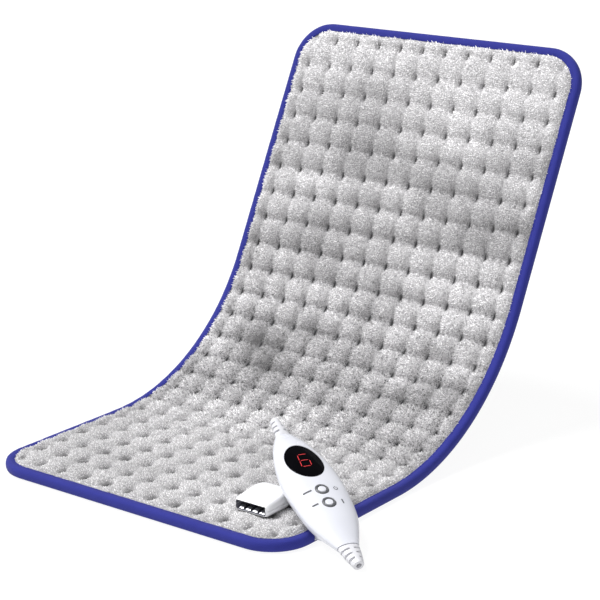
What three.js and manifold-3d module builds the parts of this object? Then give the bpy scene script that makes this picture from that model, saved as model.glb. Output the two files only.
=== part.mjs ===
// Heating pad with a hand controller. A quilted plush pad lies on a chair seat and bends up the chair
// back, its plug lies on the front corner, and the controller leans on the plug with its lower tip on
// the seat. Millimetres, +Z up. The origin is the middle of the underside of the pad's flat seat part,
// +Y points to the chair back and +X to the side of the pad that has the inlet.
import * as THREE from "three";
import { mergeVertices } from "three/addons/utils/BufferGeometryUtils.js";
import Module from "manifold-3d";

const wasm = await Module();
wasm.setup();

// Gaps between pieces that touch on the real object
const CLEARANCE = 0.3;
const SLIDE_CLEARANCE = 0.4;

// Pad outline, laid flat, and how it bends
const PAD_WIDTH = 305;
const SEAT_LENGTH = 155;
const BEND_LENGTH = 225;
const BACK_LENGTH = 230;
const BACK_ANGLE = THREE.MathUtils.degToRad(63);
const CORNER_RADIUS = 36;

// Pad layers, from the underside up
const BACKING_THICKNESS = 1.2;
const WADDING_THICKNESS = 2.4;
const WIRE_DIAMETER = 2;
const PLUSH_EDGE_THICKNESS = 1.2;
const PLUSH_TACK_THICKNESS = 2.1;
const PLUSH_CROWN_THICKNESS = 6;

// Sewn tacks that draw the plush down
const TACK_PITCH = 25;
const SIDE_MARGIN = 20.5;
const END_MARGIN = 17.5;

// Binding tape folded round the edge
const TAPE_THICKNESS = 1;
const TAPE_FOLD = 10;

// Heating wire and its overheat cutout
const WIRE_SIDE_MARGIN = 44.5;
const WIRE_LEAD_RADIUS = 6;
const CUTOUT_LENGTH = 22;
const CUTOUT_WIDTH = 8;

// Inlet in the pad's right edge
const INLET_FROM_CORNER = 21;
const INLET_DEPTH = 27;
const INLET_SIDE_WALL = 1.5;
const TONGUE_REACH = 9;
const TONGUE_THICKNESS = 3.8;
const BLADE_THICKNESS = 0.6;
const BLADE_WIDTH = 2.6;

// Plug that lies on the pad, its mouth to the front
const PLUG_FROM_SIDE = 54.5;
const PLUG_FROM_FRONT = 32;
const PLUG_WIDTH = 32;
const PLUG_LENGTH = 40;
const PLUG_MOUTH_HEIGHT = 11;
const PLUG_REAR_HEIGHT = 14;
const PLUG_RISE_LENGTH = 24;
const PLUG_TAPER_LENGTH = 12;
const PLUG_TAIL_WIDTH = 20;
const PLUG_TAIL_HEIGHT = 9;
const PLUG_TAIL_SLOPE = 6;
const PLUG_WALL = 1.8;
const CARRIER_LENGTH = 8;
const CARRIER_SETBACK = 16;
const CONTACT_PITCH = 6.6;
const CONTACT_WIDTH = 3;
const CONTACT_THICKNESS = 0.8;
const CONTACT_SETBACK = 2.5;
const CONTACT_COUNT = 4;

// Controller case
const CASE_LENGTH = 131;
const CASE_WIDTH = 47;
const FACE_RISE = 10.5;
const BACK_DEPTH = 15;
const CASE_WALL = 2;
const CASE_TURN = THREE.MathUtils.degToRad(60);
const CASE_OVERHANG = 55;
const CASE_TIP_FROM_FRONT = 21;
const CORD_BORE = 4.4;

// Cord boots at the ends of the controller
const BOOT_LENGTH = 20;
const LOWER_BOOT_WIDTH = 17;
const UPPER_BOOT_WIDTH = 12;
const LOWER_BOOT_TIP = 8.4;
const UPPER_BOOT_TIP = 7.2;
const BOOT_SLOTS = 3;
const BOOT_SLOT_WIDTH = 1.8;
const BOOT_SPINE = 3.2;

// Window, buttons and their rings on the controller's face
const WINDOW_FROM_TOP = 41;
const WINDOW_LENGTH = 42;
const WINDOW_WIDTH = 29;
const LENS_THICKNESS = 1.8;
const WINDOW_TO_BUTTON = 14.5;
const BUTTON_PITCH = 14.5;
const BUTTON_DIAMETER = 6.4;
const BUTTON_TRAVEL = 0.8;
const BUTTON_PROUD = 0.7;
const BUTTON_FLANGE = 1.1;
const FLANGE_THICKNESS = 1.2;
const BUTTON_STEM = 4;
const RING_WIDTH = 1.8;
const RING_HEIGHT = 3.2;
const RING_PROUD = 0.2;

// Circuit board and what is soldered to it
const BOARD_LEVEL = 5;
const BOARD_THICKNESS = 1.6;
const BOARD_LOW_INSET = 23;
const BOARD_TOP_INSET = 28;
const BOARD_SIDE_GAP = 0.6;
const DIGIT_WIDTH = 14;
const DIGIT_LENGTH = 19;
const SWITCH_SIZE = 6;
const SWITCH_HEIGHT = 3.5;
const TRIAC_WIDTH = 8;
const TRIAC_LENGTH = 10;
const TRIAC_HEIGHT = 4.5;
const PART_SIDE_GAP = 3;
const FUSE_DIAMETER = 3.6;
const FUSE_LENGTH = 12;

// Screws of the case and of the board
const SCREW_SHANK = 2.4;
const SCREW_HEAD = 5.2;
const SCREW_HEAD_HEIGHT = 1.6;
const SCREW_REACH = 3;
const CASE_SCREW_INSET = 15.5;
const CASE_SCREW_SPACING = 17;
const CASE_SCREW_SEAT = 4.5;
const BOSS_WALL = 1.1;
const BOARD_SCREW_SPACING = 18;
const BOARD_SCREW_FROM_WINDOW = 5;
const BOARD_SCREW_LENGTH = 6;

// Facets of the faceted curves
const ROUND_SIDES = 12;
const CASE_SIDES = 20;
const CASE_RINGS = 12;
const WIRE_SIDES = 6;
const TURN_STEPS = 4;
const CORNER_STEPS = 7;

// Heights in the pad, and places that follow from the sizes above
const WADDING_BOTTOM = BACKING_THICKNESS + CLEARANCE;
const WADDING_TOP = WADDING_BOTTOM + WADDING_THICKNESS;
const WIRE_LEVEL = WADDING_TOP + CLEARANCE + WIRE_DIAMETER / 2;
const PLUSH_BOTTOM = WIRE_LEVEL + WIRE_DIAMETER / 2 + CLEARANCE;
const PLUSH_EDGE_TOP = PLUSH_BOTTOM + PLUSH_EDGE_THICKNESS;
const PLUSH_TACK_TOP = PLUSH_BOTTOM + PLUSH_TACK_THICKNESS;
const PLUSH_CROWN_TOP = PLUSH_BOTTOM + PLUSH_CROWN_THICKNESS;
const BINDING_HEIGHT = PLUSH_EDGE_TOP + CLEARANCE + TAPE_THICKNESS;
const LAYER_INSET = TAPE_THICKNESS + CLEARANCE;
const LIP_INSET = TAPE_FOLD + CLEARANCE;
const BEND_RADIUS = BEND_LENGTH / BACK_ANGLE;
const FRONT_EDGE = -SEAT_LENGTH / 2;
const SIDE_EDGE = PAD_WIDTH / 2;
const WIRE_REACH = SIDE_EDGE - WIRE_SIDE_MARGIN;
const INLET_WIDTH = PLUG_WIDTH - 2 * INLET_SIDE_WALL;
const INLET_AT = CORNER_RADIUS + INLET_FROM_CORNER;
const INLET_BOTTOM = WADDING_BOTTOM;
const INLET_TOP = PLUSH_EDGE_TOP;
const TONGUE_WIDTH = PLUG_WIDTH - 2 * PLUG_WALL - 2 * SLIDE_CLEARANCE;
const TONGUE_MIDDLE = (INLET_BOTTOM + INLET_TOP) / 2;
const WINDOW_AT = CASE_LENGTH - WINDOW_FROM_TOP;
const POWER_AT = WINDOW_AT - WINDOW_LENGTH / 2 - WINDOW_TO_BUTTON;
const LEVEL_AT = POWER_AT - BUTTON_PITCH;
const BOARD_TOP = BOARD_THICKNESS - BOARD_LEVEL;
const PART_LEVEL = BOARD_TOP + CLEARANCE;

const WHITE_PLASTIC = { color: 0xf4f5fb, roughness: 0.25, metalness: 0 };
const BLACK_LENS = { color: 0x05060a, roughness: 0.08, metalness: 0 };
const GREY_RING = { color: 0x55585f, roughness: 0.45, metalness: 0 };
const PLUSH = { color: 0xc9c8c8, roughness: 1, metalness: 0 };
const FELT = { color: 0xe6e4de, roughness: 1, metalness: 0 };
const LINING = { color: 0x9a9ba0, roughness: 0.95, metalness: 0 };
const BLUE_TAPE = { color: 0x34389a, roughness: 0.8, metalness: 0 };
const WIRE_JACKET = { color: 0xe8dcc8, roughness: 0.6, metalness: 0 };
const TINNED = { color: 0xc8cacd, roughness: 0.3, metalness: 1 };
const DARK_PLASTIC = { color: 0x24262b, roughness: 0.5, metalness: 0 };
const BOARD_GREEN = { color: 0x1f5b3a, roughness: 0.5, metalness: 0 };

function meshOf(name, geometry, look) {
  const mesh = new THREE.Mesh(geometry, new THREE.MeshStandardMaterial(look));
  mesh.name = name;
  return mesh;
}

// A closed geometry as a solid that can be cut and joined.
function solidOf(geometry) {
  const loose = geometry.index ? geometry.toNonIndexed() : geometry;
  const bare = new THREE.BufferGeometry();
  bare.setAttribute("position", loose.getAttribute("position"));
  const merged = mergeVertices(bare, 1e-4);
  const corners = merged.index.array;
  const kept = [];
  for (let i = 0; i < corners.length; i += 3) {
    const [a, b, c] = corners.slice(i, i + 3);
    if (a !== b && b !== c && a !== c) kept.push(a, b, c);
  }
  const vertProperties = new Float32Array(merged.attributes.position.array);
  const triVerts = new Uint32Array(kept);
  return new wasm.Manifold(new wasm.Mesh({ numProp: 3, vertProperties, triVerts }));
}

function geometryOf(solid) {
  const mesh = solid.getMesh();
  const geometry = new THREE.BufferGeometry();
  geometry.setAttribute("position", new THREE.BufferAttribute(new Float32Array(mesh.vertProperties), 3));
  geometry.setIndex(new THREE.BufferAttribute(new Uint32Array(mesh.triVerts), 1));
  geometry.computeVertexNormals();
  return geometry;
}

function closedGeometry(points, faces) {
  const geometry = new THREE.BufferGeometry().setFromPoints(points);
  geometry.setIndex(faces.flat());
  geometry.computeVertexNormals();
  return geometry;
}

function flatPoints(pairs) {
  return pairs.map(([across, along]) => new THREE.Vector2(across, along));
}

function box(x0, x1, y0, y1, z0, z1) {
  const geometry = new THREE.BoxGeometry(x1 - x0, y1 - y0, z1 - z0);
  return geometry.translate((x0 + x1) / 2, (y0 + y1) / 2, (z0 + z1) / 2);
}

function prism(shape, z0, z1) {
  const settings = { depth: z1 - z0, bevelEnabled: false, curveSegments: CORNER_STEPS };
  return new THREE.ExtrudeGeometry(shape, settings).translate(0, 0, z0);
}

// A body of revolution about Z, from [radius, height] points listed from the bottom round the outside.
function turned(points, x = 0, y = 0, sides = ROUND_SIDES) {
  const geometry = new THREE.LatheGeometry(flatPoints(points), sides).rotateX(Math.PI / 2).translate(x, y, 0);
  return solidOf(geometry);
}

function rod(radius, z0, z1, x = 0, y = 0, sides = ROUND_SIDES) {
  return turned([[0, z0], [radius, z0], [radius, z1], [0, z1]], x, y, sides);
}

// A round bar along Y.
function cordBar(radius, y0, y1, z = 0) {
  const geometry = new THREE.CylinderGeometry(radius, radius, y1 - y0, ROUND_SIDES);
  return solidOf(geometry.translate(0, (y0 + y1) / 2, z));
}

// A route through listed points, so that each step of a tube lands on one of them.
class Route extends THREE.Curve {
  constructor(points) {
    super();
    this.points = points;
  }
  getPoint(share, target = new THREE.Vector3()) {
    const place = share * (this.points.length - 1);
    const step = Math.min(Math.floor(place), this.points.length - 2);
    return target.copy(this.points[step]).lerp(this.points[step + 1], place - step);
  }
  getUtoTmapping(share) {
    return share;
  }
}

function tube(points, diameter) {
  const section = new THREE.Shape();
  for (let side = 0; side < WIRE_SIDES; side += 1) {
    const angle = (side / WIRE_SIDES) * 2 * Math.PI;
    const corner = [(Math.cos(angle) * diameter) / 2, (Math.sin(angle) * diameter) / 2];
    if (side === 0) section.moveTo(...corner);
    else section.lineTo(...corner);
  }
  const extrudePath = new Route(points);
  return new THREE.ExtrudeGeometry(section, { steps: points.length - 1, bevelEnabled: false, extrudePath });
}

// Outline of a pad end, with two round corners at y = 0, inset all round and cut at the given length.
function endOutline(inset, length) {
  const half = SIDE_EDGE - inset;
  const radius = CORNER_RADIUS - inset;
  const shape = new THREE.Shape();
  shape.moveTo(-half, length);
  shape.lineTo(-half, CORNER_RADIUS);
  shape.absarc(radius - half, CORNER_RADIUS, radius, Math.PI, 1.5 * Math.PI, false);
  shape.absarc(half - radius, CORNER_RADIUS, radius, 1.5 * Math.PI, 2 * Math.PI, false);
  shape.lineTo(half, length);
  return shape;
}

// Quilt lines. A tack line has rise 0, the line halfway between two has rise 1, and an edge line is flat.
const EDGE = -1;

function tackLines(first, pitch, count) {
  const lines = [];
  for (let row = 0; row < count; row += 1) {
    lines.push({ at: first + row * pitch, rise: 0 });
    if (row < count - 1) lines.push({ at: first + (row + 0.5) * pitch, rise: 1 });
  }
  return lines;
}

function linesAcross() {
  const span = PAD_WIDTH - 2 * SIDE_MARGIN;
  const gaps = Math.round(span / TACK_PITCH);
  const lip = SIDE_EDGE - LIP_INSET;
  const crown = (lip + span / 2) / 2;
  const hem = { at: SIDE_EDGE - LAYER_INSET, rise: EDGE };
  const edges = [hem, { at: lip, rise: EDGE }, { at: crown, rise: 1 }];
  const left = edges.map(({ at, rise }) => ({ at: -at, rise }));
  return [...left, ...tackLines(-span / 2, span / gaps, gaps + 1), ...edges.reverse()];
}

function tackRows(length) {
  const rows = Math.round((length - END_MARGIN) / TACK_PITCH + 0.5);
  return { rows, pitch: (length - END_MARGIN) / (rows - 0.5) };
}

function linesAlongEnd(length) {
  const { rows, pitch } = tackRows(length);
  const edges = [{ at: LAYER_INSET, rise: EDGE }, { at: LIP_INSET, rise: EDGE }];
  const join = { at: length - CLEARANCE / 2, rise: 1 };
  return [...edges, ...tackLines(END_MARGIN, pitch, rows), join];
}

function bendRows() {
  const rows = Math.round(BEND_LENGTH / TACK_PITCH);
  return { rows, pitch: BEND_LENGTH / rows };
}

function linesAlongBend() {
  const { rows, pitch } = bendRows();
  const start = { at: CLEARANCE / 2, rise: 1 };
  const end = { at: BEND_LENGTH - CLEARANCE / 2, rise: 1 };
  return [start, ...tackLines(pitch / 2, pitch, rows), end];
}

// A place on the bend: x across, y along its underside from the seat, z up from the underside.
function onBend(x, along, height) {
  const angle = along / BEND_RADIUS;
  const radius = BEND_RADIUS - height;
  return new THREE.Vector3(x, -FRONT_EDGE + radius * Math.sin(angle), BEND_RADIUS - radius * Math.cos(angle));
}

function onFlat(x, along, height) {
  return new THREE.Vector3(x, along, height);
}

// Faces that close one end of a strip, from its section and the numbers of the section's points.
function capFaces(section, corners) {
  const triangles = THREE.ShapeUtils.triangulateShape(flatPoints(section), []);
  return triangles.map((triangle) => triangle.map((corner) => corners[corner]));
}

function turnedRound(faces) {
  return faces.map(([a, b, c]) => [c, b, a]);
}

// The quilted plush: its top rises and falls between the tacks, and its underside is plain.
function quilt(across, along, place) {
  const rise = PLUSH_CROWN_TOP - PLUSH_TACK_TOP;
  const heightAt = (a, b) =>
    a.rise === EDGE || b.rise === EDGE ? PLUSH_EDGE_TOP : PLUSH_TACK_TOP + (rise * (a.rise + b.rise)) / 2;
  const columns = across.length;
  const points = [];
  const faces = [];
  const top = (column, row) => row * (columns + 2) + column;
  along.forEach((b) => {
    across.forEach((a) => points.push(place(a.at, b.at, heightAt(a, b))));
    points.push(place(across[0].at, b.at, PLUSH_BOTTOM));
    points.push(place(across[columns - 1].at, b.at, PLUSH_BOTTOM));
  });
  for (let row = 0; row < along.length - 1; row += 1) {
    for (let column = 0; column < columns - 1; column += 1) {
      const [a, b] = [top(column, row), top(column + 1, row)];
      const [c, d] = [top(column + 1, row + 1), top(column, row + 1)];
      if ((row + column) % 2) faces.push([a, b, d], [b, c, d]);
      else faces.push([a, b, c], [a, c, d]);
    }
    const [left, right] = [top(columns, row), top(columns + 1, row)];
    const [farLeft, farRight] = [top(columns, row + 1), top(columns + 1, row + 1)];
    faces.push([left, farRight, right], [left, farLeft, farRight]);
    faces.push([left, top(0, row), top(0, row + 1)], [left, top(0, row + 1), farLeft]);
    const [nearTop, farTop] = [top(columns - 1, row), top(columns - 1, row + 1)];
    faces.push([right, farTop, nearTop], [right, farRight, farTop]);
  }
  const ring = [columns, columns + 1, ...across.map((line, column) => columns - 1 - column)];
  const last = (along.length - 1) * (columns + 2);
  const sectionAt = (b) =>
    ring.map((index) => {
      if (index === columns) return [across[0].at, PLUSH_BOTTOM];
      if (index === columns + 1) return [across[columns - 1].at, PLUSH_BOTTOM];
      return [across[index].at, heightAt(across[index], b)];
    });
  const nearFaces = capFaces(sectionAt(along[0]), ring);
  const farRing = ring.map((index) => last + index);
  const farFaces = turnedRound(capFaces(sectionAt(along[along.length - 1]), farRing));
  return closedGeometry(points, [...faces, ...nearFaces, ...farFaces]);
}

// A strip of one section that follows the bend.
function bendStrip(section) {
  const steps = linesAlongBend().map(({ at }) => at);
  const count = section.length;
  const points = steps.flatMap((along) => section.map(([x, height]) => onBend(x, along, height)));
  const faces = [];
  for (let step = 0; step < steps.length - 1; step += 1) {
    for (let corner = 0; corner < count; corner += 1) {
      const [a, b] = [step * count + corner, step * count + ((corner + 1) % count)];
      const [c, d] = [b + count, a + count];
      faces.push([a, d, c], [a, c, b]);
    }
  }
  const near = section.map((point, corner) => corner);
  const far = near.map((corner) => corner + (steps.length - 1) * count);
  faces.push(...capFaces(section, near), ...turnedRound(capFaces(section, far)));
  return closedGeometry(points, faces);
}

function slab(half, z0, z1) {
  return [[-half, z0], [half, z0], [half, z1], [-half, z1]];
}

// Half turn of the wire from one crossing to the next, on one side of the pad.
function wireTurn(side, along, pitch, place) {
  const points = [];
  for (let step = 1; step < TURN_STEPS; step += 1) {
    const angle = (step / TURN_STEPS) * Math.PI - Math.PI / 2;
    const x = side * (WIRE_REACH + (Math.cos(angle) * pitch) / 2);
    points.push(place(x, along + (pitch / 2) * (1 + Math.sin(angle)), WIRE_LEVEL));
  }
  return points;
}

// Quarter turn that leads the wire along one side to the join with the next part of the pad.
function wireToJoin(side, along, join, pitch, place) {
  const radius = pitch / 2;
  const points = [];
  for (let step = 1; step <= TURN_STEPS; step += 1) {
    const angle = ((step / TURN_STEPS) * Math.PI) / 2;
    const x = side * (WIRE_REACH + radius * Math.sin(angle));
    const turn = radius * (1 - Math.cos(angle));
    points.push(place(x, along + Math.sign(join - along) * turn, WIRE_LEVEL));
  }
  points.push(place(side * (WIRE_REACH + radius), join, WIRE_LEVEL));
  return points;
}

// Crossings of the wire between the tack rows, from the first along place, starting on the given side.
function wireCrossings(first, pitch, count, startSide, place) {
  const points = [];
  let side = startSide;
  for (let row = 0; row < count; row += 1) {
    const along = first + row * pitch;
    points.push(place(side * WIRE_REACH, along, WIRE_LEVEL));
    side = -side;
    points.push(place(side * WIRE_REACH, along, WIRE_LEVEL));
    if (row < count - 1) points.push(...wireTurn(side, along, pitch, place));
  }
  return { points, side };
}

// The wire of a pad end, from its outer end to the join, which it reaches on the given side.
function endWire(length, joinSide, lead) {
  const { rows, pitch } = tackRows(length);
  const first = END_MARGIN + pitch / 2;
  const count = rows - 1;
  const startSide = count % 2 ? -joinSide : joinSide;
  const { points, side } = wireCrossings(first, pitch, count, startSide, onFlat);
  const last = first + (count - 1) * pitch;
  const join = wireToJoin(side, last, length - CLEARANCE / 2, pitch, onFlat);
  return tube([...lead(startSide, first), ...points, ...join], WIRE_DIAMETER);
}

// Lead from the inlet's front wall to the first crossing of the seat wire.
function inletLead(side, along) {
  const column = SIDE_EDGE - LAYER_INSET - INLET_DEPTH / 2;
  const points = [onFlat(side * column, INLET_AT - INLET_WIDTH / 2 - CLEARANCE, WIRE_LEVEL)];
  for (let step = 0; step <= TURN_STEPS; step += 1) {
    const angle = ((step / TURN_STEPS) * Math.PI) / 2;
    const x = column - WIRE_LEAD_RADIUS * (1 - Math.cos(angle));
    points.push(onFlat(side * x, along + WIRE_LEAD_RADIUS * (1 - Math.sin(angle)), WIRE_LEVEL));
  }
  return points;
}

function bendWire(joinSide) {
  const { rows, pitch } = bendRows();
  const place = onBend;
  const { points, side } = wireCrossings(pitch, pitch, rows - 1, joinSide, place);
  const entry = wireToJoin(joinSide, pitch, CLEARANCE / 2, pitch, place).reverse();
  const exit = wireToJoin(side, (rows - 1) * pitch, BEND_LENGTH - CLEARANCE / 2, pitch, place);
  return { geometry: tube([...entry, ...points, ...exit], WIRE_DIAMETER), side };
}

// Plush, wadding, lining and binding of one flat end of the pad, as solids.
function endLayers(length) {
  const join = length - CLEARANCE / 2;
  const past = length + TAPE_FOLD;
  const lipCut = (PLUSH_EDGE_TOP + BINDING_HEIGHT - TAPE_THICKNESS) / 2;
  const aboveAll = PLUSH_CROWN_TOP + TAPE_FOLD;
  const underLip = solidOf(prism(endOutline(-CLEARANCE, past), lipCut, aboveAll)).subtract(
    solidOf(prism(endOutline(LIP_INSET, past + TAPE_FOLD), 0, aboveAll + TAPE_FOLD)),
  );
  const channelTop = BINDING_HEIGHT - TAPE_THICKNESS;
  return {
    plush: solidOf(quilt(linesAcross(), linesAlongEnd(length), onFlat))
      .intersect(solidOf(prism(endOutline(LAYER_INSET, past), 0, aboveAll)))
      .subtract(underLip),
    wadding: solidOf(prism(endOutline(LAYER_INSET, join), WADDING_BOTTOM, WADDING_TOP)),
    lining: solidOf(prism(endOutline(LIP_INSET, join), 0, BACKING_THICKNESS)),
    binding: solidOf(prism(endOutline(0, join), 0, BINDING_HEIGHT))
      .subtract(solidOf(prism(endOutline(TAPE_THICKNESS, past), TAPE_THICKNESS, channelTop)))
      .subtract(solidOf(prism(endOutline(TAPE_FOLD, past), -TAPE_FOLD, aboveAll))),
  };
}

// Seat part of the pad, with the inlet in its right edge
function seatPart() {
  const group = new THREE.Group();
  group.position.y = FRONT_EDGE;
  const layers = endLayers(SEAT_LENGTH);
  const inner = SIDE_EDGE - LAYER_INSET - INLET_DEPTH;
  const outer = SIDE_EDGE - LAYER_INSET;
  const half = INLET_WIDTH / 2;
  const tongueHalf = TONGUE_WIDTH / 2;
  const [low, high] = [TONGUE_MIDDLE - TONGUE_THICKNESS / 2, TONGUE_MIDDLE + TONGUE_THICKNESS / 2];
  const tip = SIDE_EDGE + TONGUE_REACH;
  const room = box(
    inner - CLEARANCE,
    SIDE_EDGE,
    INLET_AT - half - CLEARANCE,
    INLET_AT + half + CLEARANCE,
    INLET_BOTTOM - CLEARANCE,
    INLET_TOP + CLEARANCE,
  );
  const slot = box(
    outer - CLEARANCE,
    tip,
    INLET_AT - tongueHalf - CLEARANCE,
    INLET_AT + tongueHalf + CLEARANCE,
    low - CLEARANCE,
    high + CLEARANCE,
  );
  const housing = solidOf(box(inner, outer, INLET_AT - half, INLET_AT + half, INLET_BOTTOM, INLET_TOP)).add(
    solidOf(box(inner, tip, INLET_AT - tongueHalf, INLET_AT + tongueHalf, low, high)),
  );
  const cutoutAt = INLET_AT + TACK_PITCH / 2;
  group.add(
    meshOf("plush_seat", geometryOf(layers.plush.subtract(solidOf(room))), PLUSH),
    meshOf("wadding_seat", geometryOf(layers.wadding.subtract(solidOf(room))), FELT),
    meshOf("lining_seat", geometryOf(layers.lining), LINING),
    meshOf("binding_front", geometryOf(layers.binding.subtract(solidOf(slot))), BLUE_TAPE),
    meshOf("heating_wire_seat", endWire(SEAT_LENGTH, -1, inletLead), WIRE_JACKET),
    meshOf("inlet_housing", geometryOf(housing), WHITE_PLASTIC),
  );
  const cutout = box(
    -CUTOUT_LENGTH / 2,
    CUTOUT_LENGTH / 2,
    cutoutAt - CUTOUT_WIDTH / 2,
    cutoutAt + CUTOUT_WIDTH / 2,
    WADDING_TOP + CLEARANCE,
    PLUSH_BOTTOM - CLEARANCE,
  );
  group.add(meshOf("overheat_cutout", cutout, TINNED));
  for (let place = 0; place < CONTACT_COUNT; place += 1) {
    const at = INLET_AT + (place - (CONTACT_COUNT - 1) / 2) * CONTACT_PITCH;
    const top = low - CLEARANCE;
    const blade = box(
      SIDE_EDGE + CLEARANCE,
      tip - CLEARANCE,
      at - BLADE_WIDTH / 2,
      at + BLADE_WIDTH / 2,
      top - BLADE_THICKNESS,
      top,
    );
    group.add(meshOf("inlet_blade_" + (place + 1), blade, TINNED));
  }
  return group;
}

// Curved part of the pad, from the seat up to the back
function bendPart(wire) {
  const group = new THREE.Group();
  const edge = SIDE_EDGE;
  const lip = SIDE_EDGE - TAPE_FOLD;
  const inside = SIDE_EDGE - TAPE_THICKNESS;
  const roof = BINDING_HEIGHT - TAPE_THICKNESS;
  const rightTape = [
    [lip, 0],
    [edge, 0],
    [edge, BINDING_HEIGHT],
    [lip, BINDING_HEIGHT],
    [lip, roof],
    [inside, roof],
    [inside, TAPE_THICKNESS],
    [lip, TAPE_THICKNESS],
  ];
  const leftTape = rightTape.map(([x, height]) => [-x, height]).reverse();
  group.add(
    meshOf("plush_bend", quilt(linesAcross(), linesAlongBend(), onBend), PLUSH),
    meshOf("wadding_bend", bendStrip(slab(SIDE_EDGE - LAYER_INSET, WADDING_BOTTOM, WADDING_TOP)), FELT),
    meshOf("lining_bend", bendStrip(slab(SIDE_EDGE - LIP_INSET, 0, BACKING_THICKNESS)), LINING),
    meshOf("binding_left", bendStrip(leftTape), BLUE_TAPE),
    meshOf("binding_right", bendStrip(rightTape), BLUE_TAPE),
    meshOf("heating_wire_bend", wire.geometry, WIRE_JACKET),
  );
  return group;
}

// Straight part of the pad that leans on the chair back. Its round end is the pad's top edge.
function backPart(joinSide) {
  const lean = new THREE.Group();
  lean.position.copy(onBend(0, BEND_LENGTH, 0));
  lean.rotation.x = BACK_ANGLE;
  const fromTop = new THREE.Group();
  fromTop.position.y = BACK_LENGTH;
  fromTop.rotation.z = Math.PI;
  lean.add(fromTop);
  const layers = endLayers(BACK_LENGTH);
  const noLead = () => [];
  fromTop.add(
    meshOf("plush_back", geometryOf(layers.plush), PLUSH),
    meshOf("wadding_back", geometryOf(layers.wadding), FELT),
    meshOf("lining_back", geometryOf(layers.lining), LINING),
    meshOf("binding_top", geometryOf(layers.binding), BLUE_TAPE),
    meshOf("heating_wire_back", endWire(BACK_LENGTH, -joinSide, noLead), WIRE_JACKET),
  );
  return lean;
}

// Plug, from its mouth at y = 0 to its tail, lying on the pad
const PLUG_PLACE = new THREE.Vector3(
  SIDE_EDGE - PLUG_FROM_SIDE,
  FRONT_EDGE + PLUG_FROM_FRONT,
  PLUSH_CROWN_TOP + CLEARANCE,
);

function plugTop() {
  return [
    [0, PLUG_MOUTH_HEIGHT],
    [PLUG_RISE_LENGTH, PLUG_REAR_HEIGHT],
    [PLUG_LENGTH - PLUG_TAIL_SLOPE, PLUG_REAR_HEIGHT],
    [PLUG_LENGTH, PLUG_TAIL_HEIGHT],
  ];
}

function plugPart() {
  const group = new THREE.Group();
  group.position.copy(PLUG_PLACE);
  const half = PLUG_WIDTH / 2;
  const tail = PLUG_TAIL_WIDTH / 2;
  const straight = PLUG_LENGTH - PLUG_TAPER_LENGTH;
  const rightSide = [[half, 0], [half, straight], [tail, PLUG_LENGTH]];
  const leftSide = rightSide.map(([x, y]) => [-x, y]).reverse();
  const plan = new THREE.Shape(flatPoints([...rightSide, ...leftSide]));
  const side = new THREE.Shape(flatPoints([[PLUG_LENGTH, 0], [0, 0], ...plugTop()]));
  const sideBar = prism(side, -PLUG_WIDTH, PLUG_WIDTH).rotateX(Math.PI / 2).rotateZ(Math.PI / 2);
  const body = solidOf(prism(plan, 0, PLUG_REAR_HEIGHT)).intersect(solidOf(sideBar));
  const split = PLUG_MOUTH_HEIGHT / 2;
  const roof = PLUG_MOUTH_HEIGHT - PLUG_WALL;
  const inside = half - PLUG_WALL;
  const cavity = solidOf(box(-inside, inside, -PLUG_WALL, straight, PLUG_WALL, roof));
  const bore = cordBar(CORD_BORE / 2, straight - PLUG_WALL, PLUG_LENGTH + PLUG_WALL, split);
  const hollow = body.subtract(cavity).subtract(bore);
  const below = box(
    -PLUG_WIDTH,
    PLUG_WIDTH,
    -PLUG_LENGTH,
    2 * PLUG_LENGTH,
    -PLUG_WALL,
    split - CLEARANCE / 2,
  );
  const above = box(
    -PLUG_WIDTH,
    PLUG_WIDTH,
    -PLUG_LENGTH,
    2 * PLUG_LENGTH,
    split + CLEARANCE / 2,
    2 * PLUG_REAR_HEIGHT,
  );
  const carrier = box(
    CLEARANCE - inside,
    inside - CLEARANCE,
    CARRIER_SETBACK,
    CARRIER_SETBACK + CARRIER_LENGTH,
    PLUG_WALL + CLEARANCE,
    roof - CLEARANCE,
  );
  group.add(
    meshOf("plug_base", geometryOf(hollow.intersect(solidOf(below))), WHITE_PLASTIC),
    meshOf("plug_cover", geometryOf(hollow.intersect(solidOf(above))), WHITE_PLASTIC),
    meshOf("plug_carrier", carrier, DARK_PLASTIC),
  );
  for (let place = 0; place < CONTACT_COUNT; place += 1) {
    const at = (place - (CONTACT_COUNT - 1) / 2) * CONTACT_PITCH;
    const contact = box(
      at - CONTACT_WIDTH / 2,
      at + CONTACT_WIDTH / 2,
      CONTACT_SETBACK,
      CARRIER_SETBACK - CLEARANCE,
      PLUG_WALL + CLEARANCE,
      PLUG_WALL + CLEARANCE + CONTACT_THICKNESS,
    );
    group.add(meshOf("plug_contact_" + (place + 1), contact, TINNED));
  }
  return group;
}

// Controller case: half its width along its length, as [share of the length, share of the half width]
const CASE_SHAPE = [[0, 0.38], [0.19, 0.81], [0.37, 0.966], [0.56, 1], [0.73, 0.88], [0.89, 0.61], [1, 0.29]];
const CASE_OUTLINE = new THREE.SplineCurve(
  CASE_SHAPE.map(([along, width]) => new THREE.Vector2((width * CASE_WIDTH) / 2, along * CASE_LENGTH)),
).getPoints(CASE_RINGS);

function halfWidthAt(along) {
  const next = Math.max(
    1,
    CASE_OUTLINE.findIndex((point) => point.y >= Math.min(along, CASE_LENGTH)),
  );
  const [from, to] = [CASE_OUTLINE[next - 1], CASE_OUTLINE[next]];
  return THREE.MathUtils.mapLinear(along, from.y, to.y, from.x, to.x);
}

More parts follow.
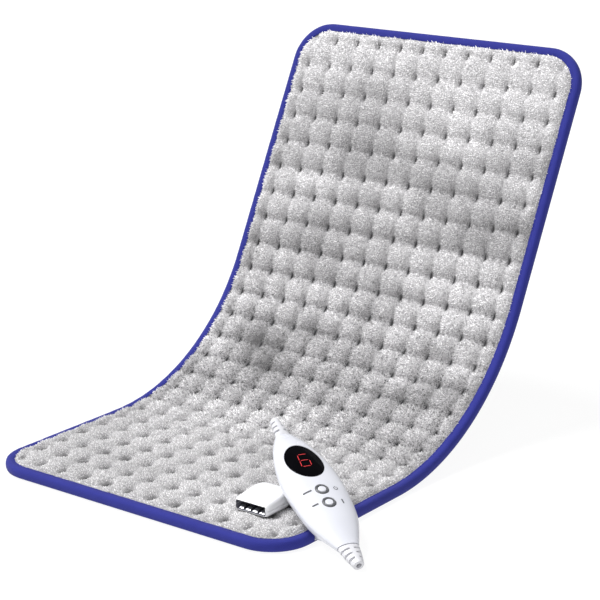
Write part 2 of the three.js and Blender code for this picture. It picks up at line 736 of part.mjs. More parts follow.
// Height of the egg-shaped face, or depth of the back, inset by a wall, at a place on it.
function domeAt(x, along, height, wall = 0) {
  const inner = THREE.MathUtils.mapLinear(along, wall, CASE_LENGTH - wall, 0, CASE_LENGTH);
  const half = halfWidthAt(inner) - wall;
  const flat = (height - wall) / (CASE_WIDTH / 2 - wall);
  return half * flat * Math.sqrt(Math.max(0, 1 - (x / half) ** 2));
}

function eggSolid(wall) {
  const inset = (along) => THREE.MathUtils.mapLinear(along, 0, CASE_LENGTH, wall, CASE_LENGTH - wall);
  const profile = CASE_OUTLINE.map(({ x, y }) => new THREE.Vector2(x - wall, inset(y)));
  const [first, last] = [profile[0], profile[profile.length - 1]];
  const points = [new THREE.Vector2(0, first.y), ...profile, new THREE.Vector2(0, last.y)];
  const geometry = new THREE.LatheGeometry(points, CASE_SIDES);
  const half = CASE_WIDTH / 2 - wall;
  const place = geometry.attributes.position;
  for (let index = 0; index < place.count; index += 1) {
    const z = place.getZ(index);
    place.setZ(index, (z * ((z > 0 ? FACE_RISE : BACK_DEPTH) - wall)) / half);
  }
  return solidOf(geometry);
}

function ovalPrism(length, width, z0, z1) {
  const shape = new THREE.Shape();
  shape.absellipse(0, WINDOW_AT, width / 2, length / 2, 0, 2 * Math.PI);
  const settings = { depth: z1 - z0, bevelEnabled: false, curveSegments: CASE_SIDES };
  return solidOf(new THREE.ExtrudeGeometry(shape, settings).translate(0, 0, z0));
}

const CASE_SCREWS = [-1, 1].flatMap((side) =>
  [CASE_SCREW_INSET, CASE_LENGTH - CASE_SCREW_INSET].map((along) => [(side * CASE_SCREW_SPACING) / 2, along]),
);
const BOARD_SCREWS = [-1, 1].map((side) => [
  (side * BOARD_SCREW_SPACING) / 2,
  WINDOW_AT - WINDOW_LENGTH / 2 - BOARD_SCREW_FROM_WINDOW,
]);
const SCREW_HOLE = SCREW_SHANK / 2 + CLEARANCE;
const HEAD_HOLE = SCREW_HEAD / 2 + CLEARANCE;
const BUTTON_HOLE = BUTTON_DIAMETER / 2 + CLEARANCE;
const RING_OUTER = BUTTON_HOLE + RING_WIDTH;

// Upper half of the case, with the window, the two ring seats and the bosses that take the screws
function upperShell(body, hollow) {
  const far = 2 * CASE_LENGTH;
  const upper = solidOf(box(-far, far, -far, far, CLEARANCE / 2, far));
  let shell = body.intersect(upper);
  let room = hollow;
  CASE_SCREWS.forEach(([x, along]) => {
    room = room.subtract(rod(SCREW_HOLE + BOSS_WALL, -far, far, x, along));
  });
  shell = shell.subtract(room).subtract(ovalPrism(WINDOW_LENGTH, WINDOW_WIDTH, 0, far));
  CASE_SCREWS.forEach(([x, along]) => {
    shell = shell.subtract(rod(SCREW_HOLE, -far, SCREW_REACH + CLEARANCE, x, along));
  });
  [POWER_AT, LEVEL_AT].forEach((along) => {
    shell = shell.subtract(rod(RING_OUTER + CLEARANCE, 0, far, 0, along));
  });
  return shell;
}

// Lower half of the case, with screw tubes, board posts and countersunk holes in the back
function lowerShell(body, hollow) {
  const far = 2 * CASE_LENGTH;
  const lower = solidOf(box(-far, far, -far, far, -far, -CLEARANCE / 2));
  let room = hollow;
  CASE_SCREWS.forEach(([x, along]) => {
    room = room.subtract(rod(HEAD_HOLE + BOSS_WALL, -far, far, x, along));
  });
  BOARD_SCREWS.forEach(([x, along]) => {
    room = room.subtract(rod(SCREW_HOLE + BOSS_WALL, -far, -BOARD_LEVEL - CLEARANCE, x, along));
  });
  let shell = body.intersect(lower).subtract(room);
  CASE_SCREWS.forEach(([x, along]) => {
    shell = shell.subtract(rod(SCREW_HOLE, -far, far, x, along));
    shell = shell.subtract(rod(HEAD_HOLE, -far, -CASE_SCREW_SEAT, x, along));
  });
  BOARD_SCREWS.forEach(([x, along]) => {
    const end = BOARD_TOP - BOARD_SCREW_LENGTH - CLEARANCE;
    shell = shell.subtract(rod(SCREW_HOLE, end, far, x, along));
  });
  return shell;
}

// A tapered boot with a cord bore and slots on both sides of a spine. It reaches from y = 0 to the tip.
function bootSolid(width, tipWidth, reach) {
  const direction = Math.sign(reach);
  const [base, tip] = [width / 2, tipWidth / 2];
  const ends = flatPoints([[0, 0], [base, 0], [tip, reach], [0, reach]]);
  const geometry = new THREE.LatheGeometry(direction > 0 ? ends : ends.reverse(), ROUND_SIDES);
  const place = geometry.attributes.position;
  for (let index = 0; index < place.count; index += 1) {
    const z = place.getZ(index);
    const flat = (z > 0 ? FACE_RISE : BACK_DEPTH) / (CASE_WIDTH / 2);
    place.setZ(index, z * THREE.MathUtils.lerp(flat, 1, place.getY(index) / reach));
  }
  const [y0, y1] = [Math.min(0, reach), Math.max(0, reach)];
  let boot = solidOf(geometry).subtract(cordBar(CORD_BORE / 2, y0 - CASE_WALL, y1 + CASE_WALL));
  for (let slot = 0; slot < BOOT_SLOTS; slot += 1) {
    const at = (reach * (slot + 1)) / (BOOT_SLOTS + 1);
    [-1, 1].forEach((side) => {
      const [x0, x1] = [(side * BOOT_SPINE) / 2, side * width].sort((a, b) => a - b);
      const cut = box(x0, x1, at - BOOT_SLOT_WIDTH / 2, at + BOOT_SLOT_WIDTH / 2, -width, width);
      boot = boot.subtract(solidOf(cut));
    });
  }
  return boot;
}

function screwGeometry(x, along, seat, length, pointsUp) {
  const way = pointsUp ? 1 : -1;
  const head = seat - way * (CLEARANCE + SCREW_HEAD_HEIGHT);
  const underHead = seat - way * CLEARANCE;
  const end = seat + way * length;
  const profile = [
    [0, head],
    [SCREW_HEAD / 2, head],
    [SCREW_HEAD / 2, underHead],
    [SCREW_SHANK / 2, underHead],
    [SCREW_SHANK / 2, end],
    [0, end],
  ];
  return geometryOf(turned(pointsUp ? profile : profile.reverse(), x, along));
}

// A button: a cap in the ring, a flange under the ring and a stem over its switch
function buttonGeometry(along) {
  const face = domeAt(0, along, FACE_RISE);
  const ringFoot = face + RING_PROUD - RING_HEIGHT;
  const radius = BUTTON_DIAMETER / 2;
  const flangeTop = ringFoot - CLEARANCE;
  const flangeFoot = flangeTop - FLANGE_THICKNESS;
  const stemFoot = PART_LEVEL + SWITCH_HEIGHT + BUTTON_TRAVEL + CLEARANCE;
  const top = face + BUTTON_PROUD;
  const profile = [
    [0, stemFoot],
    [BUTTON_STEM / 2, stemFoot],
    [BUTTON_STEM / 2, flangeFoot],
    [radius + BUTTON_FLANGE, flangeFoot],
    [radius + BUTTON_FLANGE, flangeTop],
    [radius, flangeTop],
    [radius, top - BUTTON_PROUD / 2],
    [radius - BUTTON_PROUD / 2, top],
    [0, top],
  ];
  return geometryOf(turned(profile, 0, along));
}

function ringGeometry(along) {
  const top = domeAt(0, along, FACE_RISE) + RING_PROUD;
  const foot = top - RING_HEIGHT;
  const profile = [
    [BUTTON_HOLE, foot],
    [RING_OUTER, foot],
    [RING_OUTER, top],
    [BUTTON_HOLE, top],
    [BUTTON_HOLE, foot],
  ];
  return geometryOf(turned(profile, 0, along));
}

// Tilt at which the controller's back just clears the plug and the pad's edge, with its tip on the seat
function restingTilt() {
  const supports = [];
  const line = (from, to) => {
    for (let step = 0; step <= CASE_RINGS; step += 1) supports.push(from.clone().lerp(to, step / CASE_RINGS));
  };
  const half = PLUG_WIDTH / 2;
  const onPlug = (x, [y, z]) => new THREE.Vector3(x, y, z).add(PLUG_PLACE);
  const top = plugTop();
  const straight = PLUG_LENGTH - PLUG_TAPER_LENGTH;
  line(onPlug(half, top[0]), onPlug(half, top[1]));
  line(onPlug(half, top[1]), onPlug(half, [straight, PLUG_REAR_HEIGHT]));
  line(onPlug(half, [straight, PLUG_REAR_HEIGHT]), onPlug(PLUG_TAIL_WIDTH / 2, top[2]));
  const alongEdge = (x, z) =>
    line(new THREE.Vector3(x, FRONT_EDGE, z), new THREE.Vector3(x, FRONT_EDGE + SEAT_LENGTH, z));
  alongEdge(SIDE_EDGE, BINDING_HEIGHT);
  alongEdge(SIDE_EDGE - LIP_INSET, PLUSH_CROWN_TOP);
  const gapAt = (tilt) => {
    const frame = controllerFrame(tilt);
    const back = frame.clone().invert();
    const gaps = supports.map((support) => {
      const local = support.clone().applyMatrix4(back);
      const onCase = local.y > 0 && local.y < CASE_LENGTH && Math.abs(local.x) < halfWidthAt(local.y);
      return onCase ? -domeAt(local.x, local.y, BACK_DEPTH) - local.z : Infinity;
    });
    return Math.min(...gaps);
  };
  let [low, high] = [0, Math.PI / 4];
  for (let round = 0; round < 40; round += 1) {
    const middle = (low + high) / 2;
    if (gapAt(middle) > CLEARANCE) high = middle;
    else low = middle;
  }
  return high;
}

// Frame of the controller: x across its face, y along it from the lower end, z out of its face.
function controllerFrame(tilt) {
  const turn = new THREE.Euler(tilt, 0, CASE_TURN, "ZXY");
  const tip = new THREE.Vector3(
    SIDE_EDGE + CASE_OVERHANG,
    FRONT_EDGE + CASE_TIP_FROM_FRONT,
    CLEARANCE + (Math.cos(tilt) * LOWER_BOOT_TIP) / 2,
  );
  const start = new THREE.Vector3(0, BOOT_LENGTH + CLEARANCE, 0).applyEuler(turn).add(tip);
  const scale = new THREE.Vector3(1, 1, 1);
  return new THREE.Matrix4().compose(start, new THREE.Quaternion().setFromEuler(turn), scale);
}

function controllerPart() {
  const group = new THREE.Group();
  group.applyMatrix4(controllerFrame(restingTilt()));
  const entries = cordBar(CORD_BORE / 2, -CASE_WALL, 2 * CASE_WALL).add(
    cordBar(CORD_BORE / 2, CASE_LENGTH - 2 * CASE_WALL, CASE_LENGTH + CASE_WALL),
  );
  const body = eggSolid(0).subtract(entries);
  const hollow = eggSolid(CASE_WALL);
  const far = CASE_LENGTH;
  const lens = eggSolid(0)
    .intersect(ovalPrism(WINDOW_LENGTH - 2 * CLEARANCE, WINDOW_WIDTH - 2 * CLEARANCE, 0, far))
    .subtract(eggSolid(LENS_THICKNESS));
  const lowerBoot = geometryOf(bootSolid(LOWER_BOOT_WIDTH, LOWER_BOOT_TIP, -BOOT_LENGTH));
  const upperBoot = geometryOf(bootSolid(UPPER_BOOT_WIDTH, UPPER_BOOT_TIP, BOOT_LENGTH));
  group.add(
    meshOf("upper_shell", geometryOf(upperShell(body, hollow)), WHITE_PLASTIC),
    meshOf("lower_shell", geometryOf(lowerShell(body, hollow)), WHITE_PLASTIC),
    meshOf("display_lens", geometryOf(lens), BLACK_LENS),
    meshOf("lower_boot", lowerBoot.translate(0, -CLEARANCE, 0), WHITE_PLASTIC),
    meshOf("upper_boot", upperBoot.translate(0, CASE_LENGTH + CLEARANCE, 0), WHITE_PLASTIC),
    meshOf("power_button", buttonGeometry(POWER_AT), WHITE_PLASTIC),
    meshOf("level_button", buttonGeometry(LEVEL_AT), WHITE_PLASTIC),
    meshOf("power_ring", ringGeometry(POWER_AT), GREY_RING),
    meshOf("level_ring", ringGeometry(LEVEL_AT), GREY_RING),
    ...boardPieces(),
  );
  CASE_SCREWS.forEach(([x, along], index) => {
    const screw = screwGeometry(x, along, -CASE_SCREW_SEAT, CASE_SCREW_SEAT + SCREW_REACH, true);
    group.add(meshOf("case_screw_" + (index + 1), screw, TINNED));
  });
  BOARD_SCREWS.forEach(([x, along], index) => {
    const screw = screwGeometry(x, along, BOARD_TOP, BOARD_SCREW_LENGTH, false);
    group.add(meshOf("board_screw_" + (index + 1), screw, TINNED));
  });
  return group;
}

// The board and the parts on it, in the controller's frame
function boardPieces() {
  const [start, end] = [BOARD_LOW_INSET, CASE_LENGTH - BOARD_TOP_INSET];
  const roomAt = (along) => {
    const depth = domeAt(0, along, BACK_DEPTH, CASE_WALL);
    const half = halfWidthAt(along) - CASE_WALL;
    return half * Math.sqrt(1 - (BOARD_LEVEL / depth) ** 2);
  };
  const half = Math.min(roomAt(start), roomAt(end)) - BOARD_SIDE_GAP;
  let board = solidOf(box(-half, half, start, end, -BOARD_LEVEL, BOARD_TOP));
  BOARD_SCREWS.forEach(([x, along]) => {
    board = board.subtract(rod(SCREW_HOLE, -CASE_LENGTH, CASE_LENGTH, x, along));
  });
  const digitLow = WINDOW_AT - DIGIT_LENGTH / 2;
  const digitTop = WINDOW_AT + DIGIT_LENGTH / 2;
  const underLens = domeAt(DIGIT_WIDTH / 2, digitTop, FACE_RISE, LENS_THICKNESS) - CLEARANCE;
  const digit = box(-DIGIT_WIDTH / 2, DIGIT_WIDTH / 2, digitLow, digitTop, PART_LEVEL, underLens);
  const middle = (POWER_AT + LEVEL_AT) / 2;
  const beside = SWITCH_SIZE / 2 + PART_SIDE_GAP;
  const triac = box(
    -beside - TRIAC_WIDTH,
    -beside,
    middle - TRIAC_LENGTH / 2,
    middle + TRIAC_LENGTH / 2,
    PART_LEVEL,
    PART_LEVEL + TRIAC_HEIGHT,
  );
  const fuse = new THREE.CylinderGeometry(FUSE_DIAMETER / 2, FUSE_DIAMETER / 2, FUSE_LENGTH, ROUND_SIDES);
  fuse.translate(beside + FUSE_DIAMETER / 2, middle, PART_LEVEL + FUSE_DIAMETER / 2);
  const switchAt = (along) =>
    box(
      -SWITCH_SIZE / 2,
      SWITCH_SIZE / 2,
      along - SWITCH_SIZE / 2,
      along + SWITCH_SIZE / 2,
      PART_LEVEL,
      PART_LEVEL + SWITCH_HEIGHT,
    );
  return [
    meshOf("circuit_board", geometryOf(board), BOARD_GREEN),
    meshOf("digit_display", digit, DARK_PLASTIC),
    meshOf("power_switch", switchAt(POWER_AT), DARK_PLASTIC),
    meshOf("level_switch", switchAt(LEVEL_AT), DARK_PLASTIC),
    meshOf("triac", triac, DARK_PLASTIC),
    meshOf("thermal_fuse", fuse, TINNED),
  ];
}

const heatingPad = new THREE.Group();
const middleWire = bendWire(-1);
heatingPad.add(seatPart(), bendPart(middleWire), backPart(middleWire.side), plugPart(), controllerPart());

export default heatingPad;
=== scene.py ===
# Heating pad with a hand controller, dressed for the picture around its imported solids. Metres, the
# solids' own frame: the seat lies on z = 0, +Y points to the chair back, +X to the inlet's side.
import math

import bpy
import numpy as np
from mathutils import Matrix, noise


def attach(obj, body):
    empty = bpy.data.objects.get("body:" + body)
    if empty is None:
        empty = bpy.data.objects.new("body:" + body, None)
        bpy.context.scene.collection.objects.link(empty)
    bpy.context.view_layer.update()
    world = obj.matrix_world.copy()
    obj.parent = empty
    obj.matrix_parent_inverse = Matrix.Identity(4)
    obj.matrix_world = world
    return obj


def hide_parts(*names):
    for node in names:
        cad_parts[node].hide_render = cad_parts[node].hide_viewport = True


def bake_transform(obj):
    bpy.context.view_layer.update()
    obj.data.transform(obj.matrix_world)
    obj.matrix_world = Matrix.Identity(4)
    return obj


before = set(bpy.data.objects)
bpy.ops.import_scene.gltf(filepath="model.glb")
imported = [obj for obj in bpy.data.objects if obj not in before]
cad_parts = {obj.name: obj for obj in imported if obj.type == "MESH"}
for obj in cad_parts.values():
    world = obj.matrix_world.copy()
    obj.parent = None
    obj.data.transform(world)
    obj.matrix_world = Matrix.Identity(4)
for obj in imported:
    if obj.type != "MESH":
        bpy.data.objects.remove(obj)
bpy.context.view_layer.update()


# Plush face of the pad. A knitted short-pile cloth over a soft filling, drawn down by rows of sewn tacks
# into puffed cells, and caught under the binding all round. It runs in one piece over seat, bend and back.
PAD_WIDTH = 0.305
PAD_LENGTH = 0.610
SEAT_LENGTH = 0.155
BEND_LENGTH = 0.225
BEND_START = 0.0775
BACK_ANGLE = math.radians(63)
BEND_RADIUS = BEND_LENGTH / BACK_ANGLE
CORNER_RADIUS = 0.036
TACK_ACROSS = 0.024
TACK_ALONG = 0.025
FIRST_TACK = (-0.132, 0.0175)
TACKS = (12, 24)
TACK_CLEARANCE = 0.0118
TACK_FADE = 0.0025
TACK_REACH = 0.0035
HELD_WIDTH = 0.0003
HELD_LENGTH = 0.0034
TAPE_FOLD = 0.0078
TAPE_GRIP = 0.0008
PLUSH_FOOT = 0.0065
UNDERSIDE_STEP = 0.009
TACKED_HEIGHT = 0.0068
PUFF = 0.0058
SAG = 0.86
CREASE_DEPTH = 0.70
CREASE_REACH = 0.0135
VALLEY_DEPTH = 0.75
VALLEY_SPAN = 0.008
PIT_HALF = 0.0022
DIMPLE_HALF = 0.002
RIM_START = 0.0064
RIM_WIDTH = 0.0035
CLOTH_STEPS = 12
MOST_SWELL = 0.0008
PILE_LENGTH = 0.0004
PILE_LEAN = 0.00028
PILE_FADE = (0.002, 0.003)
SLIT_WIDTH = 0.0014
SLIT_STRAIGHT = 0.0026
SLIT_END = 0.0016
# Stations: distances from the pad's front edge, and a value at each of them.
FULLNESS = ((0.10, 0.20, 0.34, 0.46, 0.58), (0.42, 1.10, 1.05, 0.78, 0.42))
PIT_WIDTH = ((0.12, 0.24, 0.52), (0.0041, 0.0024, 0.0019))
PIT_DEPTH = ((0.12, 0.24), (0.80, 0.55))
DIMPLE = ((0.12, 0.24, 0.52), (0.0043, 0.0019, 0.0014))
SLIT_SIZE = ((0.30, 0.52), (1.0, 0.7))
# Painted light and shade in bands along the pad, lightest at the top of the back.
PAINTED_LIGHT_ALONG = (
    (0.03, 0.10, 0.21, 0.26, 0.31, 0.37, 0.50, 0.58),
    (0.96, 0.82, 1.10, 0.82, 1.08, 1.03, 0.97, 1.36),
)
PATCHES = ((0.21, 0.26, 0.32, 0.36, 0.48, 0.56), (0.5, 1.5, 1.6, 1.0, 1.2, 0.6))
random_pile = np.random.default_rng(41)
tack_pull = np.random.default_rng(77).uniform(0.32, 1.12, TACKS)


def alone(piece):
    bpy.ops.object.select_all(action="DESELECT")
    piece.select_set(True)
    bpy.context.view_layer.objects.active = piece


def new_piece(name, add, scale=(1, 1, 1), **sizes):
    """Adds a plain shape to start a piece from, with its place, scale and any turn in its mesh."""
    bpy.ops.object.select_all(action="DESELECT")
    add(**sizes)
    piece = bpy.context.object
    piece.name = piece.data.name = name
    piece.scale = scale
    bpy.ops.object.transform_apply(location=True, rotation="rotation" in sizes, scale=True)
    return piece


def new_grid(name, across, along, size=1, **sizes):
    """A flat grid to shape a piece from."""
    sizes.update(x_subdivisions=across, y_subdivisions=along, size=size)
    return new_piece(name, bpy.ops.mesh.primitive_grid_add, **sizes)


def open_mesh(piece, chosen="SELECT"):
    """Opens a piece's mesh for editing, with all of it selected or none."""
    alone(piece)
    bpy.ops.object.mode_set(mode="EDIT")
    bpy.ops.mesh.select_all(action=chosen)


def close_mesh():
    bpy.ops.object.mode_set(mode="OBJECT")


def places(piece):
    spots = np.zeros(len(piece.data.vertices) * 3)
    piece.data.vertices.foreach_get("co", spots)
    return spots.reshape(-1, 3)


def put(piece, spots):
    piece.data.vertices.foreach_set("co", np.ascontiguousarray(spots, dtype=np.float64).ravel())
    piece.data.update()


def apply_modifier(piece, modifier):
    alone(piece)
    bpy.ops.object.modifier_apply(modifier=modifier.name)


def bell(aside, width, ahead=0, length=1):
    """One in the middle, fading out over a width, and over a length where one is given."""
    return np.exp(-((aside / width) ** 2) - (ahead / length) ** 2)


def along_pad(spots, stations):
    """A value that changes along the pad, at flat places."""
    return np.interp(spots[:, 1], *stations)


def edge_inset(spots):
    """How far flat places lie inside the pad's rounded outline."""
    x, along = np.abs(spots[:, 0]), spots[:, 1]
    side = PAD_WIDTH / 2 - x
    end = np.minimum(along, PAD_LENGTH - along)
    past_x = np.maximum(CORNER_RADIUS - side, 0)
    past_end = np.maximum(CORNER_RADIUS - end, 0)
    in_corner = (past_x > 0) & (past_end > 0)
    return np.where(in_corner, CORNER_RADIUS - np.hypot(past_x, past_end), np.minimum(side, end))


def flat_layer(name, side_inset, end_inset, across, along):
    """A flat grid with the pad's round corners: x across the pad, y along it from its front edge."""
    whole = (PAD_WIDTH - 2 * side_inset, PAD_LENGTH - 2 * end_inset, 1)
    layer = new_grid(name, across, along, scale=whole, location=(0, PAD_LENGTH / 2, 0))
    spots = places(layer)
    corner_x = PAD_WIDTH / 2 - CORNER_RADIUS
    near_end = np.where(spots[:, 1] < PAD_LENGTH / 2, CORNER_RADIUS, PAD_LENGTH - CORNER_RADIUS)
    centre = np.column_stack([np.sign(spots[:, 0]) * corner_x, near_end])
    out = spots[:, :2] - centre
    reach = np.hypot(out[:, 0], out[:, 1])
    radius = CORNER_RADIUS - max(side_inset, end_inset)
    beyond_end = np.abs(spots[:, 1] - PAD_LENGTH / 2) > PAD_LENGTH / 2 - CORNER_RADIUS
    outside = beyond_end & (np.abs(spots[:, 0]) > corner_x) & (reach > radius)
    spots[outside, :2] = centre[outside] + out[outside] * (radius / reach[outside])[:, None]
    put(layer, spots)
    open_mesh(layer)
    bpy.ops.mesh.remove_doubles(threshold=0.0004)
    bpy.ops.mesh.dissolve_degenerate(threshold=0.0002)
    close_mesh()
    return layer


def bent(spots):
    """Flat places (x, distance from the front edge, height) on the pad as seat and back hold it."""
    x, along, height = np.asarray(spots, float).T
    turn = np.clip((along - SEAT_LENGTH) / BEND_RADIUS, 0, BACK_ANGLE)
    before = np.minimum(along - SEAT_LENGTH, 0)
    after = np.maximum(along - SEAT_LENGTH - BEND_LENGTH, 0)
    reach = BEND_RADIUS - height
    y = BEND_START + before + reach * np.sin(turn) + after * np.cos(turn)
    z = BEND_RADIUS - reach * np.cos(turn) + after * np.sin(turn)
    return np.column_stack([x, y, z])


def on_pad(piece, material, slot, *nodes):
    """Finishes a layer of the pad, which comes bent over seat, bend and back: gives it its material, hides
    any solids that it stands for and keeps its place in its mesh.
    """
    piece.data.materials.append(material)
    if nodes:
        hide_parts(*nodes)
    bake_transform(piece)


def flat_map(piece, spots, name="flat"):
    """A UV map in metres of the flat cloth."""
    corners = np.zeros(len(piece.data.loops), np.int32)
    piece.data.loops.foreach_get("vertex_index", corners)
    layer = piece.data.uv_layers.new(name=name)
    layer.data.foreach_set("uv", np.ascontiguousarray(spots[corners, :2], dtype=np.float32).ravel())


def keep_values(mesh, **kept):
    """Keeps values at a mesh's points as attributes that its material reads."""
    for label, values in kept.items():
        attribute = mesh.attributes.new(label, "FLOAT", "POINT")
        attribute.data.foreach_set("value", values.astype(np.float32))


def noise_at(spots, across, along, seed):
    """A smooth noise at flat places, so many waves to the metre across and along the pad."""
    return np.array([noise.noise((x * across, y * along, seed)) for x, y, height in spots])


def tack_offsets(spots):
    """Distances of flat places from the nearest line of tacks along the pad, and across it."""
    column = (spots[:, 0] - FIRST_TACK[0]) / TACK_ACROSS
    row = (spots[:, 1] - FIRST_TACK[1]) / TACK_ALONG
    nearest_column = np.clip(np.round(column), 0, TACKS[0] - 1)
    nearest_row = np.clip(np.round(row), 0, TACKS[1] - 1)
    return np.abs(column - nearest_column) * TACK_ACROSS, np.abs(row - nearest_row) * TACK_ALONG


def nearest_pull(spots):
    """How hard the nearest tack was drawn down."""
    column = np.round((spots[:, 0] - FIRST_TACK[0]) / TACK_ACROSS).astype(int)
    row = np.round((spots[:, 1] - FIRST_TACK[1]) / TACK_ALONG).astype(int)
    return tack_pull[np.clip(column, 0, TACKS[0] - 1), np.clip(row, 0, TACKS[1] - 1)]


def off_tape(spots):
    """One where a tack has room, fading to nought where the tape covers it."""
    return np.clip((edge_inset(spots) - TACK_CLEARANCE) / TACK_FADE, 0, 1)


def puffed(spots):
    """Height of the cloth over the tacks: cells that sag a little, creased along the columns of tacks."""
    aside, ahead = tack_offsets(spots)
    row = (spots[:, 1] - FIRST_TACK[1]) / TACK_ALONG
    between_rows = (row > 0) & (row < TACKS[1] - 1)
    up_cell = np.where(between_rows, (row - np.floor(row)) ** SAG, np.minimum(ahead / TACK_ALONG, 0.5))
    from_crease = np.sin(np.minimum(aside / TACK_ACROSS, 0.5) * math.pi)
    from_valley = np.maximum(np.sin(up_cell * math.pi), 0)
    above_tack = np.where(between_rows, (row - np.floor(row)) * TACK_ALONG, ahead)
    drawn = np.maximum(bell(above_tack, CREASE_REACH), bell(ahead, TACK_REACH))
    crease = CREASE_DEPTH * (1 - from_crease**0.47) * (0.18 + 0.82 * drawn)
    valley = VALLEY_DEPTH * (1 - from_valley**0.75) * (0.8 + 0.2 * bell(aside, VALLEY_SPAN))
    past_pit = np.maximum(0, ahead - PIT_HALF)
    wide = along_pad(spots, PIT_WIDTH)
    pit = along_pad(spots, PIT_DEPTH) * off_tape(spots) * nearest_pull(spots)
    pit = pit * bell(aside, wide, past_pit, wide)
    rim = 1 - bell(np.maximum(0, edge_inset(spots) - RIM_START), RIM_WIDTH)
    return PUFF * np.maximum(1 - (crease + valley) * along_pad(spots, FULLNESS) - pit, 0) * rim


def dimpled(spots):
    """One at the tacks, fading over the dimple that each draws in the pile."""
    aside, ahead = tack_offsets(spots)
    from_pit = np.hypot(aside, np.maximum(0, ahead - DIMPLE_HALF)) / along_pad(spots, DIMPLE)
    return np.exp(-(from_pit**4)) * off_tape(spots) * np.minimum(nearest_pull(spots), 1)


def brushed_tone(spots):
    """Painted light and shade in bands along the pad, lightest at the top of the back, times
    random patches where the pile was stroked one way or the other.
    """
    patches = 0.42 * noise_at(spots, 8, 17, 153.94) + 0.26 * noise_at(spots, 22, 38, 60.63)
    patches *= along_pad(spots, PATCHES)
    return np.clip((0.95 + patches) * along_pad(spots, PAINTED_LIGHT_ALONG), 0.45, 1.24)


plush = flat_layer("plush_face", 0.0055, 0.005, 98, 192)
flat = places(plush)
aside, ahead = tack_offsets(flat)
tacked = (aside < HELD_WIDTH) & (ahead < HELD_LENGTH)
caught = edge_inset(flat) < TAPE_FOLD - TAPE_GRIP
flat[:, 2] = np.where(tacked | caught, 0, puffed(flat))
put(plush, flat)
held = plush.vertex_groups.new(name="held")
held.add([int(index) for index in np.nonzero(tacked | caught)[0]], 1.0, "ADD")
cover = plush.modifiers.new("cover", "CLOTH")
cover.settings.vertex_group_mass = "held"
cover.settings.quality = 5
cover.settings.bending_stiffness = 10
cover.settings.use_pressure = True
cover.settings.uniform_pressure_force = 100
cover.settings.pressure_factor = 0
cover.settings.shrink_min = -0.01
cover.settings.effector_weights.gravity = 0
for step in range(1, CLOTH_STEPS + 1):
    bpy.context.scene.frame_set(step)
apply_modifier(plush, cover)
bpy.context.scene.frame_set(1)
plush.vertex_groups.clear()
swell = places(plush) - flat
size = np.linalg.norm(swell, axis=1)
swell *= np.minimum(1, MOST_SWELL / np.maximum(size, 1e-9))[:, None]
put(plush, flat + swell)
finer = plush.modifiers.new("finer", "SUBSURF")
finer.levels = finer.render_levels = 1
apply_modifier(plush, finer)
flat = places(plush)
shown = np.clip((edge_inset(flat) - TAPE_FOLD + PILE_FADE[0]) / PILE_FADE[1], 0, 1)
aside, ahead = tack_offsets(flat)
slit_size = along_pad(flat, SLIT_SIZE)
past_slit = np.maximum(0, ahead - SLIT_STRAIGHT * slit_size)
slit = bell(aside, SLIT_WIDTH, past_slit, SLIT_END) * off_tape(flat) * slit_size
clumps = noise_at(flat, 260, 260, 3.7)
lean = random_pile.normal(0, PILE_LEAN, (len(flat), 2)) * shown[:, None]
pile = (0.45 * clumps + random_pile.uniform(-0.5, 0.75, len(flat))) * PILE_LENGTH
flat[:, 2] += TACKED_HEIGHT
put(plush, flat)
roots = flat.copy()
root_ups = np.zeros(len(flat) * 3)
plush.data.vertices.foreach_get("normal", root_ups)
root_ups = root_ups.reshape(-1, 3) * np.sign(root_ups[2::3])[:, None]
flat[:, 2] += pile * shown * (1 - 0.8 * slit)
flat[:, :2] += lean
tack_shade = np.clip(slit * 1.1 + 0.7 * dimpled(flat), 0, 1)
keep_values(plush.data, tack_shade=tack_shade, brush=brushed_tone(flat))
put(plush, flat)
open_mesh(plush, "DESELECT")
bpy.ops.mesh.select_mode(type="EDGE")
bpy.ops.mesh.select_non_manifold()
bpy.ops.mesh.extrude_region_move()
bpy.ops.transform.resize(value=(1, 1, 0))
close_mesh()
lowest = np.array([vertex.select for vertex in plush.data.vertices])
flat = places(plush)
flat[lowest, 2] = PLUSH_FOOT
put(plush, flat)
bpy.ops.object.mode_set(mode="EDIT")
bpy.ops.mesh.edge_face_add()
bpy.ops.mesh.select_mode(type="FACE")
for cut in np.arange(SEAT_LENGTH, SEAT_LENGTH + BEND_LENGTH + 0.001, UNDERSIDE_STEP):
    bpy.ops.mesh.select_all(action="DESELECT")
    close_mesh()
    for face in plush.data.polygons[-40:]:
        face.select = face.center.z < PLUSH_FOOT + 1e-5
    bpy.ops.object.mode_set(mode="EDIT")
    bpy.ops.mesh.bisect(plane_co=(0, cut, 0), plane_no=(0, 1, 0))
bpy.ops.mesh.select_mode(type="VERT")
bpy.ops.mesh.select_all(action="SELECT")
bpy.ops.mesh.normals_make_consistent(inside=False)
close_mesh()
flat = places(plush)
flat_map(plush, flat)
put(plush, bent(flat))
alone(plush)
bpy.ops.object.shade_smooth()


def new_material(name, **values):
    """A material whose shader has these constant values, and its node tree and shader."""
    made = bpy.data.materials.new(name)
    made.use_nodes = True
    tree = made.node_tree
    shader = tree.nodes["Principled BSDF"]
    for socket, value in values.items():
        shader.inputs[socket.replace("_", " ")].default_value = value
    return made, tree, shader


def wire_up(tree, *pairs):
    for output, target in pairs:
        tree.links.new(output, target)


def painted(shader, colour):
    """Gives a shader a colour that changes over the surface."""
    shader.id_data.links.new(colour, shader.inputs["Base Color"])


def object_place(tree):
    return tree.nodes.new("ShaderNodeTexCoord").outputs["Object"]


def spread_noise(tree, scale, detail=3.0):
    """A noise through the piece, so many waves to the metre."""
    node = tree.nodes.new("ShaderNodeTexNoise")
    node.inputs["Scale"].default_value = scale
    node.inputs["Detail"].default_value = detail
    tree.links.new(object_place(tree), node.inputs["Vector"])
    return node.outputs["Fac"]


